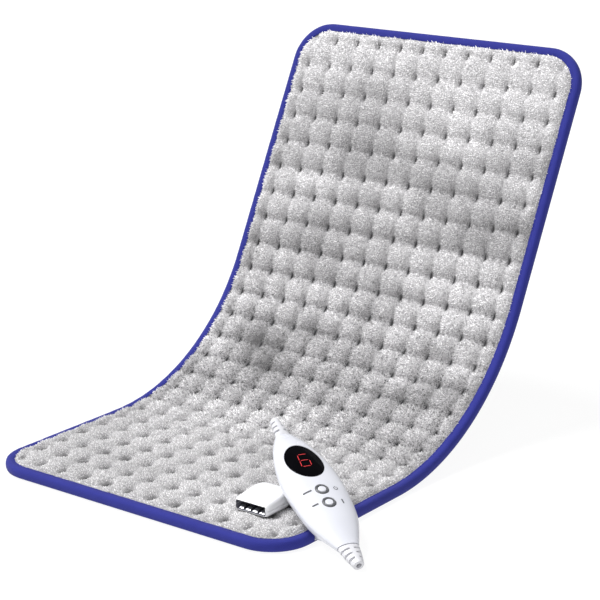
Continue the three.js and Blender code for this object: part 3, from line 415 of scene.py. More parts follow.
def ramp(tree, factor, *stops):
    node = tree.nodes.new("ShaderNodeValToRGB")
    marks = node.color_ramp.elements
    while len(marks) < len(stops):
        marks.new(0.5)
    for mark, (at, colour) in zip(marks, stops):
        mark.position = at
        mark.color = (*colour, 1)
    tree.links.new(factor, node.inputs["Fac"])
    return node.outputs["Color"]


def mixed(tree, kind, factor, first, second):
    """Two colours mixed. The factor and the second colour may be a value or a socket."""
    node = tree.nodes.new("ShaderNodeMix")
    node.data_type = "RGBA"
    node.blend_type = kind
    for socket, value in ((node.inputs[0], factor), (node.inputs[6], first), (node.inputs[7], second)):
        if isinstance(value, bpy.types.NodeSocket):
            tree.links.new(value, socket)
        else:
            socket.default_value = value
    return node.outputs[2]


def bumped(tree, shader, height, strength, distance):
    node = tree.nodes.new("ShaderNodeBump")
    node.inputs["Strength"].default_value = strength
    node.inputs["Distance"].default_value = distance
    tree.links.new(height, node.inputs["Height"])
    tree.links.new(node.outputs["Normal"], shader.inputs["Normal"])


def attribute_value(tree, name):
    node = tree.nodes.new("ShaderNodeAttribute")
    node.attribute_name = name
    return node.outputs["Fac"]


plush_cloth, tree, shader = new_material(
    "plush_cloth", Roughness=0.95, Sheen_Weight=0.35, Sheen_Roughness=0.6
)
fibre = spread_noise(tree, 900, 4)
grey = ramp(tree, fibre, (0.36, (0.22, 0.217, 0.223)), (0.62, (0.46, 0.451, 0.46)))
# Painted light and shade: the cloth's grey is scaled by the bands of light along the pad.
toned = mixed(tree, "MULTIPLY", 1.0, grey, attribute_value(tree, "brush"))
painted(shader, mixed(tree, "MIX", attribute_value(tree, "tack_shade"), toned, (0.035, 0.034, 0.036, 1)))
bumped(tree, shader, fibre, 0.8, 0.0006)
on_pad(plush, plush_cloth, "plush", "plush_seat", "plush_bend", "plush_back")


# Pile of the plush. Short tufts of soft fibre rooted all over the knit, parted at the tacks, shorter in the
# creases, and leaning a little over the binding's inner edge. Their colour holds painted shade, darker at
# the roots, in the creases, valleys and dimples and on one flank of each cell, and painted light and shade
# in bands along the pad.
TUFT_LENGTH = 0.0023
TUFT_WIDTH = 0.00066
TUFT_SCATTER = 0.0004
TUFT_SUNK = 0.0004
TUFT_LEAN = 0.45
PARTED_LEAN = 0.9
PARTED_REACH = (0.0032, 0.0045)
TAPE_LEAN = 0.9
TAPE_REACH = 0.0016
TAPE_GAP = 0.0003
CREASE_WIDTH = 0.0019
VALLEY_WIDTH = 0.0033
CREASE_SPAN = 0.007
FLANK_WIDTHS = (0.0060, 0.0026)
FLANK_SPAN = 0.015
SLIT_PARTING = ((0.12, 0.26, 0.52), (0.0022, 0.0013, 0.0009))
SLIT_LENGTH = ((0.30, 0.52), (0.0040, 0.0028))
BRUSHED_DOWN = ((0.10, 0.26), (0.05, -0.45))
TUFT_SHARE = ((0.10, 0.24), (0.70, 1.0))
VALLEY_SHADE = ((0.12, 0.20, 0.28, 0.36, 0.50, 0.56), (0.15, 0.80, 0.90, 0.60, 0.25, 0.08))
FLANK_SHADE = ((0.15, 0.21, 0.28, 0.36, 0.48, 0.56), (0.05, 0.85, 0.85, 0.55, 0.25, 0.05))
CLUMPS = ((0.12, 0.20, 0.28, 0.36, 0.50), (0.5, 1.8, 1.8, 1.0, 0.6))
CREASE_SHADE = ((0.12, 0.20, 0.28, 0.36), (0.2, 0.95, 1.0, 0.7))
SPECKLE = ((0.15, 0.22, 0.32, 0.44), (1.0, 1.22, 1.18, 1.05))
random_tufts = np.random.default_rng(52)


def outward(spots):
    """The flat direction from each place to the pad's nearest edge."""
    small = 0.0002
    across = edge_inset(spots + (small, 0, 0)) - edge_inset(spots - (small, 0, 0))
    along = edge_inset(spots + (0, small, 0)) - edge_inset(spots - (0, small, 0))
    way = -np.column_stack([across, along, np.zeros(len(spots))])
    return way / np.maximum(np.linalg.norm(way, axis=1), 1e-9)[:, None]


def unit(ways):
    return ways / np.linalg.norm(ways, axis=1)[:, None]


def new_object(name, data):
    made = bpy.data.objects.new(name, data)
    made.data.name = name
    bpy.context.scene.collection.objects.link(made)
    return made


def copied(name, model, spots, right, ahead, up):
    """Copies of a modelled shape as one piece of the bent pad, at flat places and turned to three ways."""
    shape = places(model)
    faces = [list(face.vertices) for face in model.data.polygons]
    bpy.data.objects.remove(model)
    moved = spots[:, None, :] + shape[None, :, :1] * right[:, None, :]
    moved = moved + shape[None, :, 1:2] * ahead[:, None, :] + shape[None, :, 2:] * up[:, None, :]
    starts = range(0, len(spots) * len(shape), len(shape))
    corners = [[start + corner for corner in face] for start in starts for face in faces]
    made = bpy.data.meshes.new(name)
    made.from_pydata(bent(moved.reshape(-1, 3)), [], corners)
    return new_object(name, made)


def tufted(name, spots, ups, ways, lengths, tones, brushes):
    """Spikes of fibre at flat places, each along its way, with tones and share of length as attributes.
    Soft fibre scatters light as the cloth under it does, so its normals stay near the cloth's, ups."""
    cone = {"vertices": 3, "radius1": 1, "radius2": 0, "depth": 1, "location": (0, 0, 0.5)}
    model = new_piece("spike", bpy.ops.mesh.primitive_cone_add, **cone)
    spike = places(model)
    sides = len(model.data.polygons)
    count = len(spots)
    spin = random_tufts.uniform(0, 2 * math.pi, count)
    right = np.column_stack([np.cos(spin), np.sin(spin), np.zeros(count)])
    right = unit(right - np.sum(right * ways, axis=1)[:, None] * ways)
    ahead = np.cross(ways, right)
    width = TUFT_WIDTH * random_tufts.uniform(0.75, 1.25, count)[:, None]
    piece = copied(name, model, spots, right * width, ahead * width, ways * lengths[:, None])
    alone(piece)
    bpy.ops.object.shade_smooth()
    soft_ups = unit(ups + 0.55 * ways)
    bent_ups = unit(bent(spots + soft_ups * 0.0001) - bent(spots))
    of_corners = np.repeat(bent_ups, len(spike), axis=0)
    piece.data.normals_split_custom_set_from_vertices(of_corners.tolist())
    keep_values(
        piece.data,
        tone=np.repeat(tones, len(spike)),
        brush=np.repeat(brushes, len(spike)),
        tip=np.tile(spike[:, 2], count),
    )
    cells = math.ceil(math.sqrt(count))
    corner_u = np.array([(side + at) / sides for side in range(sides) for at in (0.1, 0.9, 0.5)])
    corner_v = np.tile((0.1, 0.1, 0.9), sides)
    cell_u = (np.arange(count) % cells)[:, None] + corner_u
    cell_v = (np.arange(count) // cells)[:, None] + corner_v
    patches = np.stack([cell_u, cell_v], axis=2) / cells
    piece.data.uv_layers.new(name="OFBake").data.foreach_set("uv", patches.astype(np.float32).ravel())
    return piece


plush_pile, tree, shader = new_material(
    "plush_pile", Roughness=0.9, Sheen_Weight=0.18, Sheen_Roughness=0.5
)
fibre = ramp(
    tree,
    attribute_value(tree, "tone"),
    (0, (0.12, 0.118, 0.123)),
    (0.14, (0.38, 0.373, 0.383)),
    (0.40, (0.78, 0.767, 0.782)),
    (1, (0.95, 0.936, 0.94)),
)
# Painted shade: each tuft darkens towards its root.
painted_root_shade = ramp(tree, attribute_value(tree, "tip"), (0, (0.60, 0.60, 0.61)), (0.75, (1, 1, 1)))
shaded = mixed(tree, "MULTIPLY", 1.0, fibre, painted_root_shade)
painted(shader, mixed(tree, "MULTIPLY", 1.0, shaded, attribute_value(tree, "brush")))
roots[:, :2] += random_tufts.normal(0, TUFT_SCATTER, (len(roots), 2))
aside, ahead = tack_offsets(roots)
in_slit = (aside < along_pad(roots, SLIT_PARTING)) & (ahead < along_pad(roots, SLIT_LENGTH))
parted = in_slit & (off_tape(roots) > 0.5)
standing = (edge_inset(roots) > TAPE_FOLD + TAPE_GAP) & ~parted
roots, root_ups = roots[standing], root_ups[standing]
aside, ahead = aside[standing], ahead[standing]
tuft_lean = np.column_stack([random_tufts.normal(0, TUFT_LEAN, (len(roots), 2)), np.zeros(len(roots))])
from_tack = (roots[:, 0] - FIRST_TACK[0]) / TACK_ACROSS
from_tack -= np.round(from_tack)
by_tack = bell(aside, PARTED_REACH[0], ahead, PARTED_REACH[1])
tuft_lean[:, 0] += PARTED_LEAN * np.sign(from_tack) * by_tack
tuft_lean[:, 1] += along_pad(roots, BRUSHED_DOWN)
over_tape = np.exp(-((edge_inset(roots) - TAPE_FOLD) / TAPE_REACH))[:, None]
tuft_ways = unit(root_ups + tuft_lean + TAPE_LEAN * over_tape * outward(roots))
in_crease = bell(aside, CREASE_WIDTH) * (0.6 + 0.4 * bell(ahead, CREASE_SPAN))
in_valley = bell(ahead, VALLEY_WIDTH)
in_dimple = dimpled(roots)
above_tack = (roots[:, 1] - FIRST_TACK[1]) / TACK_ALONG
above_tack = (above_tack - np.floor(above_tack)) * TACK_ALONG
on_flank = bell(aside, np.where(from_tack < 0, *FLANK_WIDTHS))
on_flank *= 0.45 + 0.55 * bell(above_tack, FLANK_SPAN)
tuft_lengths = TUFT_LENGTH * random_tufts.uniform(0.7, 1.25, len(roots)) * along_pad(roots, TUFT_SHARE)
tuft_lengths *= (1 - 0.5 * in_crease) * (1 - 0.55 * in_dimple)
tuft_tones = 1 - random_tufts.uniform(0, 0.8, len(roots)) * along_pad(roots, SPECKLE)
# Painted shade: tufts darkened in the creases, in the valleys between rows and in the dimples.
tuft_tones *= 1 - along_pad(roots, CREASE_SHADE) * in_crease
tuft_tones *= 1 - along_pad(roots, VALLEY_SHADE) * in_valley
tuft_tones *= 1 - 0.92 * in_dimple
clumped = np.clip(1.1 + noise_at(roots, 520, 330, 9.1) * along_pad(roots, CLUMPS), 0.25, 1.06)
# Painted light and shade: the tufts take the bands along the pad and the shade on the cells' flanks, times
# random clumps.
tuft_brushes = brushed_tone(roots) * (1 - along_pad(roots, FLANK_SHADE) * on_flank) * clumped
roots[:, 2] -= TUFT_SUNK
nearer = roots[:, 1] < PAD_LENGTH / 2
for name, chosen in (("pile_near", nearer), ("pile_far", ~nearer)):
    values = (roots, root_ups, tuft_ways, tuft_lengths, tuft_tones, tuft_brushes)
    on_pad(tufted(name, *(value[chosen] for value in values)), plush_pile, "plush")


# Binding. A woven blue tape folded over the raw edges of all the layers and sewn through near its inner
# edge, in one run round the pad. It is open over the inlet in the right edge.
TAPE_PROFILE = (
    (0.0078, 0.0082), (0.0076, 0.0089), (0.0064, 0.0090), (0.0050, 0.0093), (0.0036, 0.0094),
    (0.0020, 0.0091), (0.0008, 0.0081), (0.0002, 0.0066), (0.0000, 0.0046), (0.0002, 0.0027),
    (0.0008, 0.0012), (0.0022, 0.0003), (0.0045, 0.0000), (0.0080, 0.0001), (0.0098, 0.0001),
    (0.0100, 0.0008),
)
TAPE_THICKNESS = 0.0010
TAPE_STEP = 0.0030
PUCKER = 0.00022
TAPE_YARNS = 5200
TAPE_BLUES = ((0.014, 0.017, 0.15), (0.026, 0.032, 0.27))
STITCH_INSET = 0.0062
STITCH_PITCH = 0.0042
STITCH_HEIGHTS = (0.00915, 0.00005)
STITCH_SIZE = (0.0027, 0.00055, 0.0004)
INLET_MIDDLE = 0.057
INLET_WIDTH = 0.029
OPENING_REACH = 0.008
OPENING_HEIGHTS = (0.0014, 0.0080)


def outline_walk(step):
    """Points round the pad's flat outline, each with its outward direction and the distance walked."""
    straight_x = PAD_WIDTH / 2 - CORNER_RADIUS
    straight_s = PAD_LENGTH / 2 - CORNER_RADIUS
    corner = CORNER_RADIUS * math.pi / 2
    spots = []
    walked = 0
    sides = ((1, 0, straight_s), (0, 1, straight_x), (-1, 0, straight_s), (0, -1, straight_x))
    for out_x, out_s, half in sides:
        middle = np.array([out_x * PAD_WIDTH / 2, PAD_LENGTH / 2 + out_s * PAD_LENGTH / 2])
        way = np.array([-out_s, out_x])
        for at in np.linspace(-half, half, max(2, round(2 * half / step)), endpoint=False):
            spots.append((*(middle + way * at), out_x, out_s, walked + at + half))
        walked += 2 * half
        turn_at = middle + way * half - np.array([out_x, out_s]) * CORNER_RADIUS
        first = math.atan2(out_s, out_x)
        for share in np.linspace(0, 1, max(2, round(corner / step)), endpoint=False):
            angle = first + share * math.pi / 2
            out = np.array([math.cos(angle), math.sin(angle)])
            spots.append((*(turn_at + out * CORNER_RADIUS), *out, walked + share * corner))
        walked += corner
    return np.array(spots)


def tape_inside(profile):
    """The tape's inner face, one tape thickness inside its outer one."""
    line = np.array(profile)
    ahead = np.gradient(line, axis=0)
    inward = np.column_stack([ahead[:, 1], -ahead[:, 0]])
    inward /= np.linalg.norm(inward, axis=1)[:, None]
    inside = line - inward * TAPE_THICKNESS
    inside[:, 0] = np.minimum(inside[:, 0], line[:, 0].max())
    return inside[2:-2][::-1]


def new_cube(name, low, high):
    """A box between two corners."""
    low, high = np.array(low), np.array(high)
    return new_piece(
        name,
        bpy.ops.mesh.primitive_cube_add,
        scale=tuple(high - low),
        size=1,
        location=tuple((low + high) / 2),
    )


def cut_away(piece, tool):
    """Takes a shape out of a piece and deletes the shape."""
    cut = piece.modifiers.new("cut", "BOOLEAN")
    cut.object = tool
    cut.solver = "EXACT"
    apply_modifier(piece, cut)
    bpy.data.objects.remove(tool)


def smooth(piece, degrees):
    """Shades a piece smoothly over its edges, up to those that turn by an angle."""
    alone(piece)
    bpy.ops.object.shade_smooth_by_angle(angle=math.radians(degrees))


walk = outline_walk(TAPE_STEP)
section = np.vstack([TAPE_PROFILE, tape_inside(TAPE_PROFILE)])
binding = new_grid("edge_binding", len(section), len(walk))
around = np.arange(len(walk) + 1) % len(walk)
round_section = np.arange(len(section) + 1) % len(section)
puckers = np.array([noise.noise((at * 160, 0.3, 7.1)) for at in walk[:, 4]]) * PUCKER
tape = np.zeros((len(around), len(round_section), 3))
tape_uv = np.zeros((len(around), len(round_section), 3))
section_run = np.concatenate([[0], np.cumsum(np.linalg.norm(np.diff(section, axis=0), axis=1))])
section_run = np.append(section_run, section_run[-1] + TAPE_THICKNESS)
for row, index in enumerate(around):
    x, along, out_x, out_s, walked = walk[index]
    inset = section[round_section, 0]
    on_top = section[round_section, 1] > 0.006
    tape[row, :, 0] = x - out_x * inset
    tape[row, :, 1] = along - out_s * inset
    tape[row, :, 2] = section[round_section, 1] + np.where(on_top, puckers[index], 0)
    tape_uv[row, :, 0] = walk[0, 4] + row * walk[-1, 4] / (len(walk) - 1)
    tape_uv[row, :, 1] = section_run
put(binding, tape.reshape(-1, 3))
flat_map(binding, tape_uv.reshape(-1, 3), "tape")
open_mesh(binding)
bpy.ops.mesh.remove_doubles(threshold=0.00002)
bpy.ops.mesh.normals_make_consistent(inside=False)
close_mesh()
opening_half = INLET_WIDTH / 2 + 0.001
opening = new_cube(
    "opening",
    (PAD_WIDTH / 2 - OPENING_REACH, INLET_MIDDLE - opening_half, OPENING_HEIGHTS[0]),
    (PAD_WIDTH / 2 + OPENING_REACH, INLET_MIDDLE + opening_half, OPENING_HEIGHTS[1]),
)
cut_away(binding, opening)
put(binding, bent(places(binding)))
smooth(binding, 40)


def new_group(name, takes, gives):
    """An empty shader group with its sockets, each with its kind, and its input and output nodes."""
    group = bpy.data.node_groups.new(name, "ShaderNodeTree")
    for way, sockets in (("INPUT", takes), ("OUTPUT", gives)):
        for label, kind in sockets.items():
            group.interface.new_socket(label, in_out=way, socket_type="NodeSocket" + kind)
    return group, group.nodes.new("NodeGroupInput"), group.nodes.new("NodeGroupOutput")


def placed_group(tree, group, **values):
    """A group placed in a material with its own values."""
    node = tree.nodes.new("ShaderNodeGroup")
    node.node_tree = group
    for label, value in values.items():
        node.inputs[label].default_value = value
    return node


def woven(name):
    """A group that draws a fine weave in a UV map: the height of its yarns."""
    group, taken, given = new_group(name, {"Vector": "Vector", "Yarns": "Float"}, {"Height": "Float"})
    scaled = group.nodes.new("ShaderNodeVectorMath")
    scaled.operation = "SCALE"
    wire_up(group, (taken.outputs["Vector"], scaled.inputs[0]))
    wire_up(group, (taken.outputs["Yarns"], scaled.inputs["Scale"]))
    split = group.nodes.new("ShaderNodeSeparateXYZ")
    wire_up(group, (scaled.outputs[0], split.inputs[0]))
    both = group.nodes.new("ShaderNodeMath")
    both.operation = "MULTIPLY"
    for side, axis in enumerate(("X", "Y")):
        wave = group.nodes.new("ShaderNodeMath")
        wave.operation = "SINE"
        wire_up(group, (split.outputs[axis], wave.inputs[0]), (wave.outputs[0], both.inputs[side]))
    raised = group.nodes.new("ShaderNodeMapRange")
    raised.inputs["From Min"].default_value = -1
    wire_up(group, (both.outputs[0], raised.inputs["Value"]))
    wire_up(group, (raised.outputs["Result"], given.inputs["Height"]))
    return group


weave = woven("plain_weave")


def woven_cloth(name, map_name, yarns, colours, blotch, faded, relief, **values):
    """A woven cloth between two yarn colours, blotched a little, with so many radians of yarn a metre."""
    made, tree, shader = new_material(name, **values)
    cloth_map = tree.nodes.new("ShaderNodeUVMap")
    cloth_map.uv_map = map_name
    node = placed_group(tree, weave, Yarns=yarns)
    wire_up(tree, (cloth_map.outputs["UV"], node.inputs["Vector"]))
    height = node.outputs["Height"]
    yarn = ramp(tree, height, (0.1, colours[0]), (0.9, colours[1]))
    tone = ramp(tree, spread_noise(tree, blotch, 3), (0.3, faded), (0.7, (1, 1, 1)))
    painted(shader, mixed(tree, "MULTIPLY", 1.0, yarn, tone))
    bumped(tree, shader, height, relief, 0.0003)
    return made


blue_tape = woven_cloth(
    "blue_tape",
    "tape",
    TAPE_YARNS,
    TAPE_BLUES,
    70,
    (0.88, 0.88, 0.92),
    0.35,
    Roughness=0.85,
    Sheen_Weight=0.05,
    Specular_IOR_Level=0.25,
)
on_pad(binding, blue_tape, "binding", "binding_front", "binding_left", "binding_right", "binding_top")


def sliced(piece, axis, cuts):
    """Cuts a mesh across an axis at some places, so that it can be shaped there."""
    open_mesh(piece)
    for cut in cuts:
        bpy.ops.mesh.select_all(action="SELECT")
        bpy.ops.mesh.bisect(plane_co=tuple(cut * side for side in axis), plane_no=axis)
    close_mesh()


def sewn_bars(name, spots, ways, ups, sizes):
    """Short stitches, each a bar with pinched ends, at those flat places, along ways, standing on ups."""
    model = new_piece("bar", bpy.ops.mesh.primitive_cube_add, size=1)
    sliced(model, (1, 0, 0), (0.3, -0.3))
    bar = places(model)
    ends = np.abs(bar[:, 0]) > 0.4
    bar[ends, 1] *= 0.45
    bar[ends, 2] *= 0.5
    bar[ends, 2] -= 0.12
    put(model, bar * sizes)
    return copied(name, model, spots, ways, np.cross(ups, ways), ups)


def mottled(name, scale, detail, low, high, **values):
    """A material mixed from two colours at their stops by a noise, and its tree, shader and noise."""
    made, tree, shader = new_material(name, **values)
    grains = spread_noise(tree, scale, detail)
    painted(shader, ramp(tree, grains, low, high))
    return made, tree, shader, grains


thread_walk = outline_walk(STITCH_PITCH)
thread_in = thread_walk[:, :2] - thread_walk[:, 2:4] * STITCH_INSET
level = np.zeros((len(thread_walk), 1))
up = np.hstack([level, level, level + 1])
along_edge = np.column_stack([-thread_walk[:, 3], thread_walk[:, 2], level])
stitches = sewn_bars(
    "binding_stitches",
    np.vstack([np.column_stack([thread_in, level + height]) for height in STITCH_HEIGHTS]),
    np.vstack([along_edge, along_edge]),
    np.vstack([up, -up]),
    STITCH_SIZE,
)
blue_thread = mottled(
    "blue_thread",
    2600,
    2,
    (0.35, TAPE_BLUES[0]),
    (0.65, TAPE_BLUES[1]),
    Roughness=0.8,
    Specular_IOR_Level=0.25,
)[0]
on_pad(stitches, blue_thread, "binding")


# Tacks. Each is a short bar of grey thread sewn through all the layers, deep in the pile on the face and
# flat on the lining behind. The thread is drawn near black, partly as painted shade: on the face it stands
# for the dark hole that the parted pile leaves at each slit.
TACK_SIZE = (0.0052, 0.0007, 0.0009)
TACK_HEIGHTS = (TACKED_HEIGHT + 0.0010, 0.0002)
tack_x = FIRST_TACK[0] + TACK_ACROSS * np.arange(TACKS[0])
tack_s = FIRST_TACK[1] + TACK_ALONG * np.arange(TACKS[1])
tack_spots = np.array([(x, along, 0) for along in tack_s for x in tack_x])
tack_spots = tack_spots[off_tape(tack_spots) > 0.5]
tack_up = np.tile((0.0, 0.0, 1.0), (len(tack_spots), 1))
tacks = sewn_bars(
    "tack_threads",
    np.vstack([tack_spots + (0, 0, height) for height in TACK_HEIGHTS]),
    np.tile((0.0, 1.0, 0.0), (2 * len(tack_spots), 1)),
    np.vstack([tack_up, -tack_up]),
    TACK_SIZE,
)
# Near-black thread: partly painted shade for the dark hole at each slit.
thread_and_painted_shade = mottled(
    "thread_and_painted_shade", 2200, 2, (0.35, (0.008, 0.008, 0.009)), (0.65, (0.03, 0.03, 0.033)), Roughness=0.7
)[0]
on_pad(tacks, thread_and_painted_shade, "plush")


# Lining. A plain-woven grey cloth under the pad, its edge caught in the binding, dimpled by the tacks.
LINING_INSET = 0.0085
LINING_THICKNESS = 0.0010
LINING_FOOT = 0.00012
LINING_DRAWN = 0.0006
LINING_DIMPLE = 0.005
LINING_RIPPLE = 0.0001
LINING_YARNS = 5600


def thickened(piece, thickness, side):
    """Gives a sheet its thickness, on the side that it faces for 1 and behind for -1."""
    wall = piece.modifiers.new("thickness", "SOLIDIFY")
    wall.thickness = thickness
    wall.offset = side
    apply_modifier(piece, wall)


lining = flat_layer("lining_cloth", LINING_INSET, LINING_INSET, 72, 146)
flat = places(lining)
aside, ahead = tack_offsets(flat)
dimple = bell(aside, LINING_DIMPLE, np.maximum(0, ahead - DIMPLE_HALF), LINING_DIMPLE)
flat[:, 2] = LINING_FOOT + LINING_DRAWN * dimple + LINING_RIPPLE * (1 + noise_at(flat, 55, 55, 1.3))
put(lining, flat)
flat_map(lining, flat)
put(lining, bent(flat))
thickened(lining, LINING_THICKNESS, 1)
bpy.ops.object.shade_smooth()
lining_weave = woven_cloth(
    "lining_weave",
    "flat",
    LINING_YARNS,
    ((0.20, 0.205, 0.22), (0.36, 0.365, 0.38)),
    40,
    (0.9, 0.9, 0.9),
    0.4,
    Roughness=0.9,
    Sheen_Weight=0.15,
)
on_pad(lining, lining_weave, "lining", "lining_seat", "lining_bend", "lining_back")


# Wadding. A needled felt between the lining and the heating wire, which is laid on it.
WADDING_INSET = 0.0018
WADDING_FOOT = 0.0016
WADDING_THICKNESS = 0.0022
WADDING_LUMPS = 0.00008
wadding = flat_layer("wadding_felt", WADDING_INSET, WADDING_INSET, 30, 120)
flat = places(wadding)
flat[:, 2] = WADDING_FOOT + WADDING_LUMPS * noise_at(flat, 120, 120, 5.3)
put(wadding, bent(flat))
thickened(wadding, WADDING_THICKNESS, 1)
bpy.ops.object.shade_smooth()
needled_felt, tree, shader, fibres = mottled(
    "needled_felt", 700, 4, (0.3, (0.62, 0.60, 0.55)), (0.7, (0.86, 0.85, 0.80)), Roughness=1.0
)
bumped(tree, shader, fibres, 0.5, 0.0004)
on_pad(wadding, needled_felt, "felt", "wadding_seat", "wadding_bend", "wadding_back")


# Heating wire. A thin resistance wire in a silicone jacket, laid in turns between wadding and plush.
WIRE_NODES = ("heating_wire_seat", "heating_wire_bend", "heating_wire_back")


def joined(name, pieces):
    """Several pieces as one."""
    alone(pieces[0])
    for piece in pieces:
        piece.select_set(True)
    bpy.ops.object.join()
    whole = bpy.context.object
    whole.name = whole.data.name = name
    return whole


runs = []
for node in WIRE_NODES:
    runs.append(new_object(node + "_run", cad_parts[node].data.copy()))
    runs[-1].data.materials.clear()
wire = joined("heating_wire", runs)
open_mesh(wire)
bpy.ops.mesh.remove_doubles(threshold=0.00001)
close_mesh()
smooth(wire, 65)
silicone = mottled(
    "silicone_jacket", 300, 3, (0.3, (0.74, 0.64, 0.50)), (0.7, (0.84, 0.76, 0.62)), Roughness=0.5
)[0]
on_pad(wire, silicone, "wire_jacket", *WIRE_NODES)


# Inlet in the pad's right edge, and the overheat cutout in the wire. A white moulded housing with four
# tinned blades on a tongue, and a small metal cutout. They are the solids themselves.
def moulded_grain(name):
    """A group with the fine orange peel of moulded plastic and the slight wander of its gloss."""
    group, taken, given = new_group(name, {"Gloss": "Float"}, {"Roughness": "Float", "Height": "Float"})
    swing = group.nodes.new("ShaderNodeMath")
    swing.operation = "MULTIPLY_ADD"
    swing.inputs[1].default_value = 0.12
    wire_up(
        group,
        (spread_noise(group, 45, 2), swing.inputs[0]),
        (taken.outputs["Gloss"], swing.inputs[2]),
        (swing.outputs[0], given.inputs["Roughness"]),
        (spread_noise(group, 520, 2), given.inputs["Height"]),
    )
    return group


grain = moulded_grain("moulded_grain")


def moulded_plastic(name, low, high, gloss, peel, **values):
    """A moulded plastic between two close colours."""
    made, tree, shader = mottled(name, 30, 2, (0.3, low), (0.7, high), **values)[:3]
    node = placed_group(tree, grain, Gloss=gloss)
    wire_up(tree, (node.outputs["Roughness"], shader.inputs["Roughness"]))
    bumped(tree, shader, node.outputs["Height"], peel, 0.0002)
    return made


def ranged(tree, value, low, high):
    """A value from nought to one, spread between two others."""
    node = tree.nodes.new("ShaderNodeMapRange")
    node.inputs["To Min"].default_value = low
    node.inputs["To Max"].default_value = high
    tree.links.new(value, node.inputs["Value"])
    return node.outputs["Result"]


def dress(material, *names):
    """Gives CAD nodes that show as they are a material."""
    for name in names:
        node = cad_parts[name]
        node.data.materials.clear()
        node.data.materials.append(material)


def numbered(stem, count):
    return ["%s_%d" % (stem, number) for number in range(1, count + 1)]


dark_plastic = moulded_plastic("dark_plastic", (0.016, 0.017, 0.020), (0.026, 0.027, 0.031), 0.42, 0.3)
white_plastic = moulded_plastic(
    "white_plastic",
    (0.60, 0.61, 0.665),
    (0.65, 0.66, 0.71),
    0.20,
    0.06,
    Coat_Weight=0.35,
    Coat_Roughness=0.08,
)
tinned, tree, shader, scratches = mottled(
    "tinned_metal", 420, 4, (0.3, (0.55, 0.56, 0.58)), (0.7, (0.80, 0.81, 0.82)), Metallic=1.0
)
wire_up(tree, (ranged(tree, scratches, 0.18, 0.42), shader.inputs["Roughness"]))
dress(white_plastic, "inlet_housing")
dress(tinned, "overheat_cutout", *numbered("inlet_blade", 4))


# Plug. A white moulded shell in two parts that meet at half height. It tapers to its cord end, and its
# mouth, its inside walls painted dark grey as shade in the recess, holds a dark carrier with four bowed
# tinned contacts. It lies loose on the pad.
PLUG_PLACE = (0.098, -0.0455, 0.0128)
PLUG_WIDTH = 0.032
PLUG_LENGTH = 0.040
PLUG_TAIL = 0.020
PLUG_STRAIGHT = 0.028
PLUG_SIDES = ((0, PLUG_STRAIGHT, PLUG_LENGTH), (PLUG_WIDTH / 2, PLUG_WIDTH / 2, PLUG_TAIL / 2))
PLUG_TOP = ((0, 0.024, 0.034, PLUG_LENGTH), (0.011, 0.014, 0.014, 0.009))
PLUG_WALL = 0.0018
PLUG_SPLIT = 0.0055
PLUG_SEAM = 0.00012
PLUG_ROUNDING = 0.0050
MOUTH_HALF = PLUG_WIDTH / 2 - PLUG_WALL
MOUTH_TOP = PLUG_TOP[1][0] - PLUG_WALL
MOUTH_ROUNDING = 0.0012
CORD_BORE = 0.0044
TAIL_BORE = 0.016
SPRING_WIDTH = 0.0040
SPRING_THICKNESS = 0.0006
SPRING_RISE = 0.0022
SPRING_PITCH = 0.0066
SPRING_ENDS = (0.0025, 0.0157)
SPRING_GAP = 0.0001
HAIR = 0.00001
# Painted light: the plug's white is a lighter copy of the case's white plastic, to look more lit.
plug_white_with_painted_light = moulded_plastic(
    "plug_white_with_painted_light", (0.80, 0.805, 0.83), (0.85, 0.855, 0.87), 0.22, 0.06, Coat_Weight=0.25, Coat_Roughness=0.1
)
mouth_painted_shade = moulded_plastic("mouth_painted_shade", (0.10, 0.10, 0.125), (0.15, 0.15, 0.18), 0.36, 0.2)


def rounded(piece, width, segments, angle):
    """Rounds the piece's edges that are sharper than an angle in degrees."""
    edges = piece.modifiers.new("round", "BEVEL")
    edges.width = width
    edges.segments = segments
    edges.limit_method = "ANGLE"
    edges.angle_limit = math.radians(angle)
    edges.harden_normals = False
    apply_modifier(piece, edges)


def cord_bore(middle, length):
    """A rod along the cord's way, to be taken out of a piece."""
    return new_piece(
        "bore",
        bpy.ops.mesh.primitive_cylinder_add,
        vertices=32,
        radius=CORD_BORE / 2,
        depth=length,
        location=middle,
        rotation=(math.pi / 2, 0, 0),
    )


def on_plug(piece, node):
    """Sets a piece made about the plug's mouth in its place on the pad."""
    piece.data.transform(Matrix.Translation(PLUG_PLACE))
    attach(piece, "plug")
    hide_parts(node)


plug = new_cube("plug_upper", (-PLUG_WIDTH / 2, 0, 0), (PLUG_WIDTH / 2, PLUG_LENGTH, max(PLUG_TOP[1])))
sliced(plug, (0, 1, 0), (PLUG_TOP[0][1], PLUG_STRAIGHT, PLUG_TOP[0][2]))
spots = places(plug)
spots[:, 0] = np.sign(spots[:, 0]) * np.interp(spots[:, 1], *PLUG_SIDES)
spots[:, 2] = np.where(spots[:, 2] > HAIR, np.interp(spots[:, 1], *PLUG_TOP), spots[:, 2])
put(plug, spots)
rounded(plug, PLUG_ROUNDING, 8, 12)
cavity = new_cube("cavity", (-MOUTH_HALF, -0.002, PLUG_WALL), (MOUTH_HALF, PLUG_STRAIGHT, MOUTH_TOP))
rounded(cavity, MOUTH_ROUNDING, 4, 30)
cut_away(plug, cavity)
cut_away(plug, cord_bore((0, PLUG_LENGTH - 0.006, PLUG_SPLIT), TAIL_BORE))
plug.data.materials.append(plug_white_with_painted_light)
